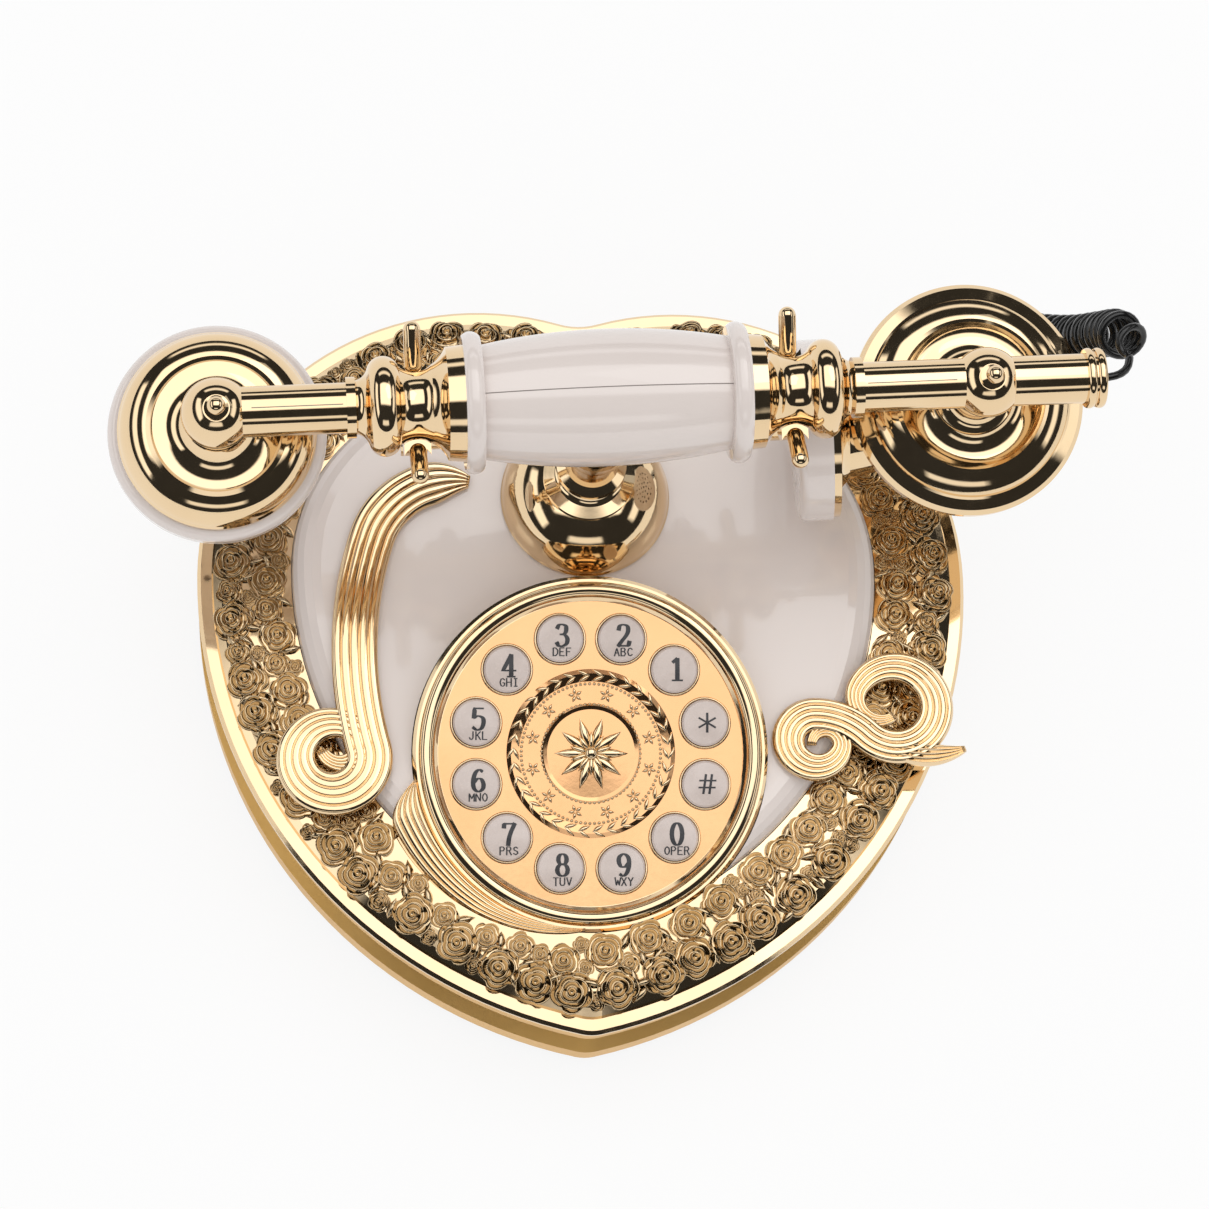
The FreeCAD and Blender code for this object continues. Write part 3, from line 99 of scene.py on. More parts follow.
# Curly cord: the route's points are the source's own
CORD_POINTS = ((131.63, 25.67, 125.0), (138.6, 26.2, 124.6), (140.6, 36.0, 121.0), (139.6, 44.0, 112.5),
               (138.6, 48.5, 99.5), (132.5, 54.0, 82.0), (123.5, 63.0, 62.5), (114.5, 73.0, 44.0),
               (109.5, 77.5, 24.0), (100.5, 72.5, 14.0), (86.34, 58.34, 14.0))
WIRE_RADIUS = 1.1
CURL_RADIUS = 5.4
CURLS = 27
CURL_LEAD = 11.0
CURL_RAMP = 12.5
CURL_STEPS = 24
LEAD_STEPS = 6
ROUTE_STEPS = 16
WIRE_SIDES = 10

# Camera, from the photograph
VIEW_ELEVATION = 71.2
VIEW_LEFT = 13.65
VIEW_ROLL = 13.15
VIEW_DISTANCE = 1150.0
VIEW_TARGET = Vector((5.85, -8.4, 36.0))
VIEW_LENS = 122.6
SENSOR = 36.0


def place(point):
    return (Vector(point) + SHIFT) * MM


def mesh_object(name, points, faces, smooth=True):
    mesh = bpy.data.meshes.new(name)
    mesh.from_pydata([tuple(point) for point in points], [], faces)
    mesh.update()
    if smooth:
        mesh.polygons.foreach_set("use_smooth", [True] * len(mesh.polygons))
    obj = bpy.data.objects.new(name, mesh)
    bpy.context.scene.collection.objects.link(obj)
    return obj


# Camera
def make_camera():
    rise = math.radians(VIEW_ELEVATION)
    side = math.radians(VIEW_LEFT)
    roll = math.radians(VIEW_ROLL)
    back = Vector((-math.sin(side) * math.cos(rise), -math.cos(side) * math.cos(rise), math.sin(rise)))
    level = Vector((math.cos(side), -math.sin(side), 0))
    above = back.cross(level)
    right = level * math.cos(roll) + above * math.sin(roll)
    above = above * math.cos(roll) - level * math.sin(roll)
    data = bpy.data.cameras.new("camera")
    data.lens = VIEW_LENS
    data.sensor_width = SENSOR
    data.clip_start = 0.01
    camera = bpy.data.objects.new("camera", data)
    bpy.context.scene.collection.objects.link(camera)
    turn = Matrix((right, above, back)).transposed().to_4x4()
    camera.matrix_world = Matrix.Translation(place(VIEW_TARGET + back * VIEW_DISTANCE)) @ turn
    bpy.context.scene.camera = camera


make_camera()


# Materials
NOISE_LOW = 0.3              # the part of a noise's range that is used
NOISE_HIGH = 0.7
NOISE_ROUGH = 0.5
CLOUD_DETAIL = 3.0
GRAIN_DETAIL = 4.0
GRAIN_DEPTH = 0.0002         # metres
COAT_ROUGH = 0.03


def node_material(name):
    material = bpy.data.materials.new(name)
    material.use_nodes = True
    tree = material.node_tree
    shader = tree.nodes["Principled BSDF"]
    return material, tree, shader


def noise_of(tree, scale, detail):
    place_node = tree.nodes.new("ShaderNodeTexCoord")
    noise = tree.nodes.new("ShaderNodeTexNoise")
    noise.inputs["Scale"].default_value = scale
    noise.inputs["Detail"].default_value = detail
    noise.inputs["Roughness"].default_value = NOISE_ROUGH
    tree.links.new(place_node.outputs["Object"], noise.inputs["Vector"])
    return noise.outputs["Fac"]


def ranged(tree, value, low, high):
    node = tree.nodes.new("ShaderNodeMapRange")
    node.inputs["From Min"].default_value = NOISE_LOW
    node.inputs["From Max"].default_value = NOISE_HIGH
    node.inputs["To Min"].default_value = low
    node.inputs["To Max"].default_value = high
    tree.links.new(value, node.inputs["Value"])
    return node.outputs["Result"]


def mixed(tree, value, first, second):
    ramp = tree.nodes.new("ShaderNodeValToRGB")
    ramp.color_ramp.elements[0].position = NOISE_LOW
    ramp.color_ramp.elements[1].position = NOISE_HIGH
    ramp.color_ramp.elements[0].color = (*first, 1)
    ramp.color_ramp.elements[1].color = (*second, 1)
    tree.links.new(value, ramp.inputs["Fac"])
    return ramp.outputs["Color"]


def bump(tree, shader, value, strength, distance):
    node = tree.nodes.new("ShaderNodeBump")
    node.inputs["Strength"].default_value = strength
    node.inputs["Distance"].default_value = distance
    tree.links.new(value, node.inputs["Height"])
    tree.links.new(node.outputs["Normal"], shader.inputs["Normal"])


def surface(name, first, second, metal, rough, colour_scale, grain_scale, grain, coat=0.0):
    # Two near colours in soft clouds, roughness that varies between two values, and a fine grain
    material, tree, shader = node_material(name)
    shader.inputs["Metallic"].default_value = metal
    clouds = noise_of(tree, colour_scale, CLOUD_DETAIL)
    tree.links.new(mixed(tree, clouds, first, second), shader.inputs["Base Color"])
    fine = noise_of(tree, grain_scale, GRAIN_DETAIL)
    tree.links.new(ranged(tree, fine, *rough), shader.inputs["Roughness"])
    bump(tree, shader, fine, grain, GRAIN_DEPTH)
    if coat:
        shader.inputs["Coat Weight"].default_value = coat
        shader.inputs["Coat Roughness"].default_value = COAT_ROUGH
    return material


plated = surface("plated_gold", (0.83, 0.62, 0.375), (0.86, 0.66, 0.42), 1.0, (0.04, 0.09), 40, 260, 0.03)
# Darker copy of the plated gold for the roses and leaves: painted shade for the dark hollows between their
# petals
shaded_rose_gold = surface("shaded_rose_gold", (0.55, 0.415, 0.25), (0.61, 0.47, 0.30), 1.0, (0.05, 0.11), 60, 400, 0.03)
satin = surface("satin_gold", (0.74, 0.44, 0.13), (0.80, 0.49, 0.16), 0.7, (0.34, 0.46), 60, 2600, 0.12)
dial_gold = surface("dial_gold", (0.72, 0.405, 0.195), (0.76, 0.44, 0.22), 1.0, (0.06, 0.12), 50, 700, 0.05)
ivory = surface("ivory", (0.80, 0.715, 0.67), (0.83, 0.745, 0.70), 0.0, (0.10, 0.16), 18, 300, 0.02, 0.6)
pearl = surface("pearl", (0.63, 0.53, 0.48), (0.71, 0.61, 0.56), 0.0, (0.20, 0.30), 160, 900, 0.04, 0.4)
rubber = surface("black_rubber", (0.025, 0.025, 0.026), (0.04, 0.04, 0.04), 0.0, (0.55, 0.7), 90, 1500, 0.2)
steel = surface("steel", (0.52, 0.52, 0.53), (0.62, 0.62, 0.62), 1.0, (0.25, 0.38), 60, 1200, 0.05)
black = surface("black_plastic", (0.03, 0.03, 0.031), (0.045, 0.045, 0.046), 0.0, (0.4, 0.55),
                80, 1800, 0.15)
board = surface("circuit_board", (0.03, 0.16, 0.07), (0.05, 0.22, 0.10), 0.0, (0.3, 0.45), 120, 900, 0.1)
clear = surface("clear_plastic", (0.62, 0.64, 0.64), (0.70, 0.72, 0.72), 0.0, (0.08, 0.15),
                90, 700, 0.03, 0.5)
cord_black = surface("cord_black", (0.005, 0.005, 0.005), (0.009, 0.009, 0.009), 0.0, (0.12, 0.20),
                     90, 1500, 0.05)
seam_grey = surface("seam_grey", (0.20, 0.17, 0.15), (0.26, 0.22, 0.20), 0.0, (0.4, 0.5), 300, 2000, 0.05)
ink = surface("ink", (0.030, 0.030, 0.034), (0.045, 0.045, 0.05), 0.0, (0.4, 0.5), 300, 2000, 0.05)
SLOT_MATERIALS = {
    "plated_gold": plated, "satin_gold": satin, "dial_gold": dial_gold, "ivory": ivory, "pearl": pearl,
    "black_rubber": rubber, "steel": steel, "black_plastic": black, "circuit_board": board,
    "clear_plastic": clear, "cord_black": cord_black,
}


def dress(obj, slot):
    obj.data.materials.clear()
    obj.data.materials.append(SLOT_MATERIALS[slot])


node_slots = {entry["node"]: entry["material_slot"] for entry in frame["record"]["subparts"]}
for node_name, node_object in frame["nodes"].items():
    dress(node_object, node_slots[node_name])


def finish_piece(obj, slot, body, *nodes):
    dress(obj, slot)
    if body:
        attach(obj, body)
    if nodes:
        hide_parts(*nodes)
    return obj


# Curly cord
def spline_points(name, points, resolution):
    curve = bpy.data.curves.new(name, "CURVE")
    curve.dimensions = "3D"
    curve.resolution_u = resolution
    spline = curve.splines.new("NURBS")
    spline.points.add(len(points) - 1)
    for knot, point in zip(spline.points, points):
        knot.co = (*place(point), 1)
    spline.order_u = 3
    spline.use_endpoint_u = True
    route = bpy.data.objects.new(name, curve)
    bpy.context.scene.collection.objects.link(route)
    bpy.context.view_layer.update()
    mesh = bpy.data.meshes.new_from_object(route)
    line = [vertex.co.copy() for vertex in mesh.vertices]
    bpy.data.objects.remove(route)
    bpy.data.curves.remove(curve)
    bpy.data.meshes.remove(mesh)
    return line


def carried_frames(line):
    # Distance, point, way and a side direction carried along the line without twist
    way = (line[1] - line[0]).normalized()
    across = way.cross(UP).normalized()
    far = 0.0
    frames = []
    for here, there in zip(line, line[1:]):
        way = (there - here).normalized()
        across = (across - way * across.dot(way)).normalized()
        frames.append((far, here, way, across))
        far += (there - here).length
    frames.append((far, line[-1], way, across))
    return frames


def frame_at(frames, far):
    for first, second in zip(frames, frames[1:]):
        if far <= second[0]:
            share = max(far - first[0], 0.0) / max(second[0] - first[0], 1e-9)
            return first[1].lerp(second[1], share), first[2], first[3]
    return frames[-1][1], frames[-1][2], frames[-1][3]


def curl_line(frames):
    total = frames[-1][0] / MM
    pitch = (total - 2 * CURL_LEAD - 2 * CURL_RAMP) / (CURLS - 2)
    line = [frame_at(frames, CURL_LEAD * MM * step / LEAD_STEPS)[0] for step in range(LEAD_STEPS)]
    for step in range(CURLS * CURL_STEPS + 1):
        phase = step / CURL_STEPS
        if phase <= 1:
            far = CURL_LEAD + phase * CURL_RAMP
        elif phase >= CURLS - 1:
            far = total - CURL_LEAD - (CURLS - phase) * CURL_RAMP
        else:
            far = CURL_LEAD + CURL_RAMP + (phase - 1) * pitch
        point, way, across = frame_at(frames, far * MM)
        share = min(max(min(phase, CURLS - phase), 0.0), 1.0)
        radius = CURL_RADIUS * MM * share * share * (3 - 2 * share)
        turn = 2 * math.pi * phase
        other = way.cross(across)
        line.append(point + across * (radius * math.cos(turn)) + other * (radius * math.sin(turn)))
    start = total - CURL_LEAD
    for step in range(1, LEAD_STEPS + 1):
        line.append(frame_at(frames, (start + CURL_LEAD * step / LEAD_STEPS) * MM)[0])
    return line


def tube(name, line, radius, sides):
    frames = carried_frames(line)
    points = []
    for far, point, way, across in frames:
        other = way.cross(across)
        for index in range(sides):
            turn = 2 * math.pi * index / sides
            points.append(point + across * (radius * math.cos(turn)) + other * (radius * math.sin(turn)))
    faces = []
    for ring in range(len(frames) - 1):
        for index in range(sides):
            after = (index + 1) % sides
            faces.append((ring * sides + index, ring * sides + after,
                          (ring + 1) * sides + after, (ring + 1) * sides + index))
    last = (len(frames) - 1) * sides
    faces.append(tuple(range(sides - 1, -1, -1)))
    faces.append(tuple(range(last, last + sides)))
    return mesh_object(name, points, faces)


cord_line = curl_line(carried_frames(spline_points("cord_route", CORD_POINTS, ROUTE_STEPS)))
cord = tube("curly_cord", cord_line, WIRE_RADIUS * MM, WIRE_SIDES)
finish_piece(cord, "cord_black", None, "handset_cord")
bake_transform(cord)


# Band of roses and leaves on the rim
# Rows of roses, filled one after the other: least and greatest inset of a rose's middle, and its radius
ROSE_ROWS = ((9.4, 10.8, 5.9), (19.2, 21.0, 5.4), (12.0, 20.0, 4.7), (8.4, 22.0, 4.0), (7.2, 23.0, 3.1),
             (6.6, 23.6, 2.4))
ROSE_TRIES = 26000
ROSE_CLOSE = 0.80           # how near two roses may come, as a share of their radii together
LEAF_RADIUS = 2.3
LEAF_ROW = ((6.6, 24.0, LEAF_RADIUS),)
LEAF_TRIES = 9000
LEAF_CLOSE = 0.62
LEAF_LONG = 2.6             # of its radius, as its half width
LEAF_WIDE = 0.62
LEAF_TALL = 1.5
ROSE_SIDES = 36
ROSE_HEIGHT = 0.84          # of its radius
ROSE_SINK = 0.25
ROSE_HEART = 0.03
ROSE_FOOT = 1.01            # the foot's radius, as a share of the outer petals'
ROSE_SEED = 11
FULL_TURN = 6.28
DIAL_CLEAR = 0.60           # share of a rose's radius that keeps clear of the dial ring
SLOPE_STEP = 0.8
MOST_LEAN = 38.0
# Petal rings of a rose of radius 1, from the heart outwards: edge, petals, turn, low height, rim height
PETALS = ((0.25, 2, 0.3, 0.58, 0.34), (0.52, 3, 1.1, 0.34, 0.42), (0.79, 4, 0.2, 0.10, 0.44),
          (1.05, 5, 0.7, -0.08, 0.36))
PETAL_PROFILE = ((0.05, 0.0), (0.40, 0.22), (0.76, 0.84), (0.94, 1.0), (1.0, 0.72))
PETAL_PEAK = 0.65           # below 1, a petal is fullest before its middle
PETAL_NOTCH = 0.18
PETAL_DIP = 0.30
# A leaf's rows and the places across it, then how its width, height and fold run
LEAF_ROWS = 7
LEAF_CROSS = (-1.0, -0.5, 0.0, 0.5, 1.0)
LEAF_PEAK = 0.8
LEAF_POINT = 0.02
LEAF_BOW = 0.45
LEAF_FOLD = 0.65
LEAF_WAVE = 2.2
LEAF_SINK = 0.3


def heart_inset(x, y):
    # Distance inwards from the outline, and the outward direction there
    side = 1.0 if x >= 0 else -1.0
    if y >= 0:
        centre = Vector((side * LOBE_OFFSET, 0))
        radius = LOBE_RADIUS
    else:
        centre = Vector((side * (LOBE_OFFSET + LOBE_RADIUS - SIDE_RADIUS), 0))
        radius = SIDE_RADIUS
    spoke = Vector((x, y)) - centre
    return radius - spoke.length, spoke.normalized()


def band_height(inset):
    share = 1 - (inset - FLANGE_WIDTH) / (BAND_WIDTH - FLANGE_WIDTH)
    return FLANGE_Z + BAND_LIFT + BAND_RISE * math.sqrt(max(1 - share * share, 0.0))


def band_spot(x, y, inset, outward):
    # Frame on the band's surface: point, outward along it, sideways, and off it
    below = band_height(max(inset - SLOPE_STEP, FLANGE_WIDTH))
    slope = (band_height(inset + SLOPE_STEP) - below) / (2 * SLOPE_STEP)
    lean = min(math.atan(slope), math.radians(MOST_LEAN))
    flat = Vector((outward.x, outward.y, 0))
    normal = flat * math.sin(lean) + UP * math.cos(lean)
    side = UP.cross(flat).normalized()
    return Vector((x, y, band_height(inset))), side.cross(normal), side, normal


def sweep_width(degrees):
    # Width of the fluted sweep that hugs the lower left of the dial ring, by the angle round the dial
    if not SWEEP_START <= degrees <= SWEEP_END:
        return 0.0
    opening = min((degrees - SWEEP_START) / SWEEP_OPENING, 1.0)
    left = 1 - (degrees - SWEEP_START) / (SWEEP_END - SWEEP_START)
    return SWEEP_LEAST + SWEEP_WIDTH * math.sin(0.5 * math.pi * opening) * left ** SWEEP_TAPER


def scatter_band(draw, rows, tries, close, taken):
    spots = []
    for nearest, farthest, radius in rows:
        for attempt in range(tries):
            x = draw.uniform(-LOBE_OFFSET - LOBE_RADIUS, LOBE_OFFSET + LOBE_RADIUS)
            y = draw.uniform(HEART_TIP_Y, LOBE_RADIUS)
            inset, outward = heart_inset(x, y)
            if not nearest < inset < farthest:
                continue
            round_dial = math.degrees(math.atan2(y - DIAL_Y, x)) % 360
            clear_of = BEZEL_RADIUS + sweep_width(round_dial) + DIAL_CLEAR * radius
            if math.hypot(x, y - DIAL_Y) < clear_of:
                continue
            if any(math.hypot(x - a, y - b) < close * (radius + r) for a, b, r in taken):
                continue
            taken.append((x, y, radius))
            spots.append((x, y, radius, inset, outward))
    return spots


def rose_rings(turn):
    # Rings of (radius, height) all round. Each petal is fullest before its end and slips under the next.
    rings = []
    inner = [ROSE_HEART] * ROSE_SIDES
    for edge, petals, phase, low, rim in PETALS:
        outer = []
        lifts = []
        for index in range(ROSE_SIDES):
            angle = 2 * math.pi * index / ROSE_SIDES + turn
            along = ((angle - phase) * petals / (2 * math.pi)) % 1.0
            full = math.sin(math.pi * along ** PETAL_PEAK)
            outer.append(edge * (1 - PETAL_NOTCH + PETAL_NOTCH * full))
            lifts.append(rim * (1 - PETAL_DIP + PETAL_DIP * full))
        for share, lift in PETAL_PROFILE:
            rings.append([(a + (b - a) * share, low + lift * c) for a, b, c in zip(inner, outer, lifts)])
        inner = outer
    rings.append([(radius * ROSE_FOOT, -ROSE_SINK) for radius in inner])
    return rings


def add_rings(points, faces, rings, spot, radius, height):
    origin, outward, side, normal = spot
    start = len(points)
    for ring in rings:
        for index, (far, rise) in enumerate(ring):
            angle = 2 * math.pi * index / len(ring)
            flat = outward * math.cos(angle) + side * math.sin(angle)
            points.append(place(origin + flat * (far * radius) + normal * (rise * radius * height)))
    sides = len(rings[0])
    for ring in range(len(rings) - 1):
        for index in range(sides):
            after = (index + 1) % sides
            first = start + ring * sides
            faces.append((first + index, first + sides + index, first + sides + after, first + after))
    faces.append(tuple(start + index for index in range(sides)))
    last = start + (len(rings) - 1) * sides
    faces.append(tuple(last + index for index in range(sides - 1, -1, -1)))


def add_leaf(points, faces, spot, turn, length, width, height):
    # Pointed leaf with a rib along its middle, closed below
    origin, outward, side, normal = spot
    along = outward * math.cos(turn) + side * math.sin(turn)
    across = normal.cross(along)
    start = len(points)
    count = len(LEAF_CROSS)
    for row in range(LEAF_ROWS):
        share = row / (LEAF_ROWS - 1)
        half = width * math.sin(math.pi * share ** LEAF_PEAK) + LEAF_POINT
        bow = height * (1 - LEAF_BOW + LEAF_BOW * math.sin(math.pi * share))
        middle = origin + along * (length * (share - 0.5))
        for step in LEAF_CROSS:
            rise = bow * (1 - LEAF_FOLD + LEAF_FOLD * abs(math.cos(LEAF_WAVE * step)))
            if abs(step) == 1.0:
                rise = -LEAF_SINK
            points.append(place(middle + across * (half * step) + normal * rise))
    for row in range(LEAF_ROWS - 1):
        for step in range(count - 1):
            corner = start + row * count + step
            faces.append((corner, corner + count, corner + count + 1, corner + 1))
        corner = start + row * count
        faces.append((corner + count - 1, corner + 2 * count - 1, corner + count, corner))
    faces.append(tuple(start + step for step in range(count)))
    last = start + (LEAF_ROWS - 1) * count
    faces.append(tuple(last + step for step in range(count - 1, -1, -1)))


def rose_band():
    draw = random.Random(ROSE_SEED)
    taken = []
    points = []
    faces = []
    for x, y, radius, inset, outward in scatter_band(draw, ROSE_ROWS, ROSE_TRIES, ROSE_CLOSE, taken):
        spot = band_spot(x, y, inset, outward)
        add_rings(points, faces, rose_rings(draw.uniform(0, FULL_TURN)), spot, radius, ROSE_HEIGHT)
    roses = mesh_object("roses", points, faces)
    points = []
    faces = []
    for x, y, radius, inset, outward in scatter_band(draw, LEAF_ROW, LEAF_TRIES, LEAF_CLOSE, taken):
        spot = band_spot(x, y, inset, outward)
        turn = draw.uniform(0, FULL_TURN)
        add_leaf(points, faces, spot, turn, LEAF_LONG * radius, LEAF_WIDE * radius, LEAF_TALL)
    leaves = mesh_object("rose_leaves", points, faces)
    return roses, leaves


roses, rose_leaves = rose_band()
# The roses and leaves take the darker copy of the plated gold, painted shade for their hollows
for piece in (roses, rose_leaves):
    finish_piece(piece, "plated_gold", "base")
    piece.data.materials[0] = shaded_rose_gold


# Fluted ribbon scrolls
# Lines: start, heading, then (radius, turn to the left). The long arcs are the source's own, and small
# arcs at their ends roll them up into volutes.
LEFT_RIBBON = ((-72.92, -54.94), -70.0, ((5.5, 220.0), (10.0, 315.0), (110.0, -32.0), (24.0, -83.0)))
RIGHT_RIBBON = ((60.85, -53.16), 90.0, ((4.2, -200.0), (7.5, -250.0), (20.0, -45.0), (11.5, 285.0),
                                         (6.5, 160.0)))
RIGHT_LEAF = ((78.0, -52.0), -30.0, ((30.0, 50.0),))
# Strokes: line, width, and the lengths over which its first and its last end taper
LEFT_STROKES = ((LEFT_RIBBON, 12.6, 74.0, 12.0),)
RIGHT_STROKES = ((RIGHT_RIBBON, 9.4, 46.0, 52.0), (RIGHT_LEAF, 6.4, 14.0, 12.0))
RIBBON_STEP = 1.1
LEAST_STEPS = 6
RIBBON_TIP = 0.28           # width of a ribbon's tip, as a share of the whole width
RIBBON_LIFT = 0.6           # above the dome's height
RIBBON_THICK = 2.6
GROOVES = 4
GROOVE_HALF = 0.34
GROOVE_DEPTH = 0.95
LAND_CROWN = 0.16
RIBBON_CROWN = 0.45
RIBBON_BEVEL = 0.4
RIBBON_SHOULDER = 0.75
# Half a groove from its rim to its floor, and a ribbon's edge inwards: (away, up)
GROOVE_STEPS = ((1.5 * GROOVE_HALF, 0.0), (GROOVE_HALF, -0.03), (0.1, -GROOVE_DEPTH))
EDGE_STEPS = ((0.30, -0.30), (0.62, 0.0))


def ribbon_line(start, heading, turns):
    # Points along the arcs, with the direction to the left of each
    here = Vector((start[0], start[1], 0))
    line = []
    for radius, turn in turns:
        side = 1.0 if turn > 0 else -1.0
        angle = math.radians(heading + 90 * side)
        centre = here + Vector((math.cos(angle), math.sin(angle), 0)) * radius
        first = math.radians(heading - 90 * side)
        count = max(LEAST_STEPS, int(abs(math.radians(turn)) * radius / RIBBON_STEP))
        extra = 1 if (radius, turn) == turns[-1] else 0
        for step in range(count + extra):
            angle = first + math.radians(turn) * step / count
            spoke = Vector((math.cos(angle), math.sin(angle), 0))
            line.append((centre + spoke * radius, spoke * -side))
        angle = first + math.radians(turn)
        here = centre + Vector((math.cos(angle), math.sin(angle), 0)) * radius
        heading += turn
    return line


def ribbon_section(width):
    # (across, up) round the ribbon: a crowned top with narrow grooves between its lands, flat below
    half = width / 2
    land = width / (GROOVES + 1)
    spots = [*EDGE_STEPS, (0.5 * land, LAND_CROWN)]
    for groove in range(GROOVES):
        middle = (groove + 1) * land
        spots += [(middle - away, rise) for away, rise in GROOVE_STEPS]
        spots += [(middle + away, rise) for away, rise in reversed(GROOVE_STEPS)]
        spots.append((middle + 0.5 * land, LAND_CROWN))
    spots += [(width - away, rise) for away, rise in reversed(EDGE_STEPS)]
    shoulder = RIBBON_THICK - RIBBON_CROWN - RIBBON_SHOULDER
    section = [(-half + RIBBON_BEVEL, 0.0), (-half, RIBBON_BEVEL), (-half, shoulder)]
    for across, rise in spots:
        off_middle = across - half
        section.append((off_middle, RIBBON_THICK + rise - RIBBON_CROWN * (off_middle / half) ** 2))
    section += [(half, shoulder), (half, RIBBON_BEVEL), (half - RIBBON_BEVEL, 0.0)]
    return section


def add_ribbon(points, faces, chain, width, first_taper, last_taper):
    line = ribbon_line(*chain)
    section = ribbon_section(width)
    count = len(section)
    start = len(points)
    lengths = [0.0]
    for first, second in zip(line, line[1:]):
        lengths.append(lengths[-1] + (second[0] - first[0]).length)
    for (spot, left), far in zip(line, lengths):
        share = min(far / first_taper, (lengths[-1] - far) / last_taper, 1.0)
        size = RIBBON_TIP + (1 - RIBBON_TIP) * math.sin(0.5 * math.pi * share)
        tall = 0.5 + 0.5 * size
        for across, rise in section:
            points.append(place(spot - left * (across * size) + UP * (DOME_Z + RIBBON_LIFT + rise * tall)))
    for row in range(len(line) - 1):
        for step in range(count):
            after = (step + 1) % count
            corner = start + row * count
            faces.append((corner + step, corner + after, corner + count + after, corner + count + step))
    faces.append(tuple(start + step for step in range(count - 1, -1, -1)))
    last = start + (len(line) - 1) * count
    faces.append(tuple(last + step for step in range(count)))


def ribbon(name, strokes):
    points = []
    faces = []
    for stroke in strokes:
        add_ribbon(points, faces, *stroke)
    return mesh_object(name, points, faces)


left_scroll = ribbon("left_scroll", LEFT_STROKES)
right_scroll = ribbon("right_scroll", RIGHT_STROKES)
finish_piece(left_scroll, "plated_gold", "base", "left_ribbon")
finish_piece(right_scroll, "plated_gold", "base", "right_ribbon")


# Fluted sweep round the lower left of the dial ring
def dial_sweep():
    section = ribbon_section(SWEEP_SECTION)
    tilt = math.radians(DIAL_TILT)
    count = len(section)
    points = []
    faces = []
    for step in range(SWEEP_STEPS + 1):
        degrees = SWEEP_START + (SWEEP_END - SWEEP_START) * step / SWEEP_STEPS
        turn = math.radians(degrees)
        width = sweep_width(degrees)
        spoke = Vector((math.cos(turn), math.sin(turn) * math.cos(tilt), 0))
        for across, rise in section:
            flat = spoke * (BEZEL_RADIUS - SWEEP_LAP + width * (across / SWEEP_SECTION + 0.5))
            plane = DIAL_Z + flat.y * math.tan(tilt)
            inset = heart_inset(flat.x, flat.y + DIAL_Y)[0]
            top = max(plane, band_height(max(inset, FLANGE_WIDTH)) - SWEEP_LAP) + SWEEP_PROUD
            low = SWEEP_DEEP if rise < 1 else RIBBON_THICK - rise
            points.append(place((flat.x, flat.y + DIAL_Y, top - low)))
    for row in range(SWEEP_STEPS):
        for index in range(count):
            after = (index + 1) % count
            corner = row * count
            faces.append((corner + after, corner + index, corner + count + index, corner + count + after))
    faces.append(tuple(range(count)))
    faces.append(tuple(range((SWEEP_STEPS + 1) * count - 1, SWEEP_STEPS * count - 1, -1)))
    return mesh_object("dial_sweep", points, faces)


finish_piece(dial_sweep(), "plated_gold", "base")


# Legends on the buttons: each sign is a set of pen strokes in a box of height 1
PEN_WIDE = 0.105            # half width of the pen sideways
PEN_SIGN = 0.055            # the same for the star and the hash
PEN_THIN = 0.038            # and upwards
DIGIT_HEIGHT = 5.9
DIGIT_SHIFT = Vector((0.5, 0.9, 0.0))
LETTER_SHIFT = Vector((0.5, -3.6, 0.0))
LETTER_HEIGHT = 2.1
LETTER_PITCH = 0.86         # of its height
LETTER_PEN = (0.09, 0.06)   # half widths sideways and upwards
SIGN_MIDDLE = 0.32          # middle of a digit's box, from its left
LETTER_MIDDLE = 0.3
STAR_ARM = 0.42
OVAL_STEPS = 12
INK_THICK = 0.06
INK_SINK = 0.03
INK_LAYER = 0.01            # each stroke lies this much above the one before
LETTERS = {"2": "ABC", "3": "DEF", "4": "GHI", "5": "JKL", "6": "MNO", "7": "PRS", "8": "TUV", "9": "WXY",
           "0": "OPER"}
SIX = ((0.50, 0.93), (0.36, 1.0), (0.19, 0.86), (0.09, 0.52), (0.12, 0.16), (0.32, 0.0), (0.52, 0.12),
       (0.56, 0.34), (0.46, 0.56), (0.28, 0.58), (0.12, 0.42))


def oval(x, y, wide, high):
    turns = [math.radians(360 * step / OVAL_STEPS) for step in range(OVAL_STEPS + 1)]
    return tuple((x + wide * math.cos(turn), y + high * math.sin(turn)) for turn in turns)


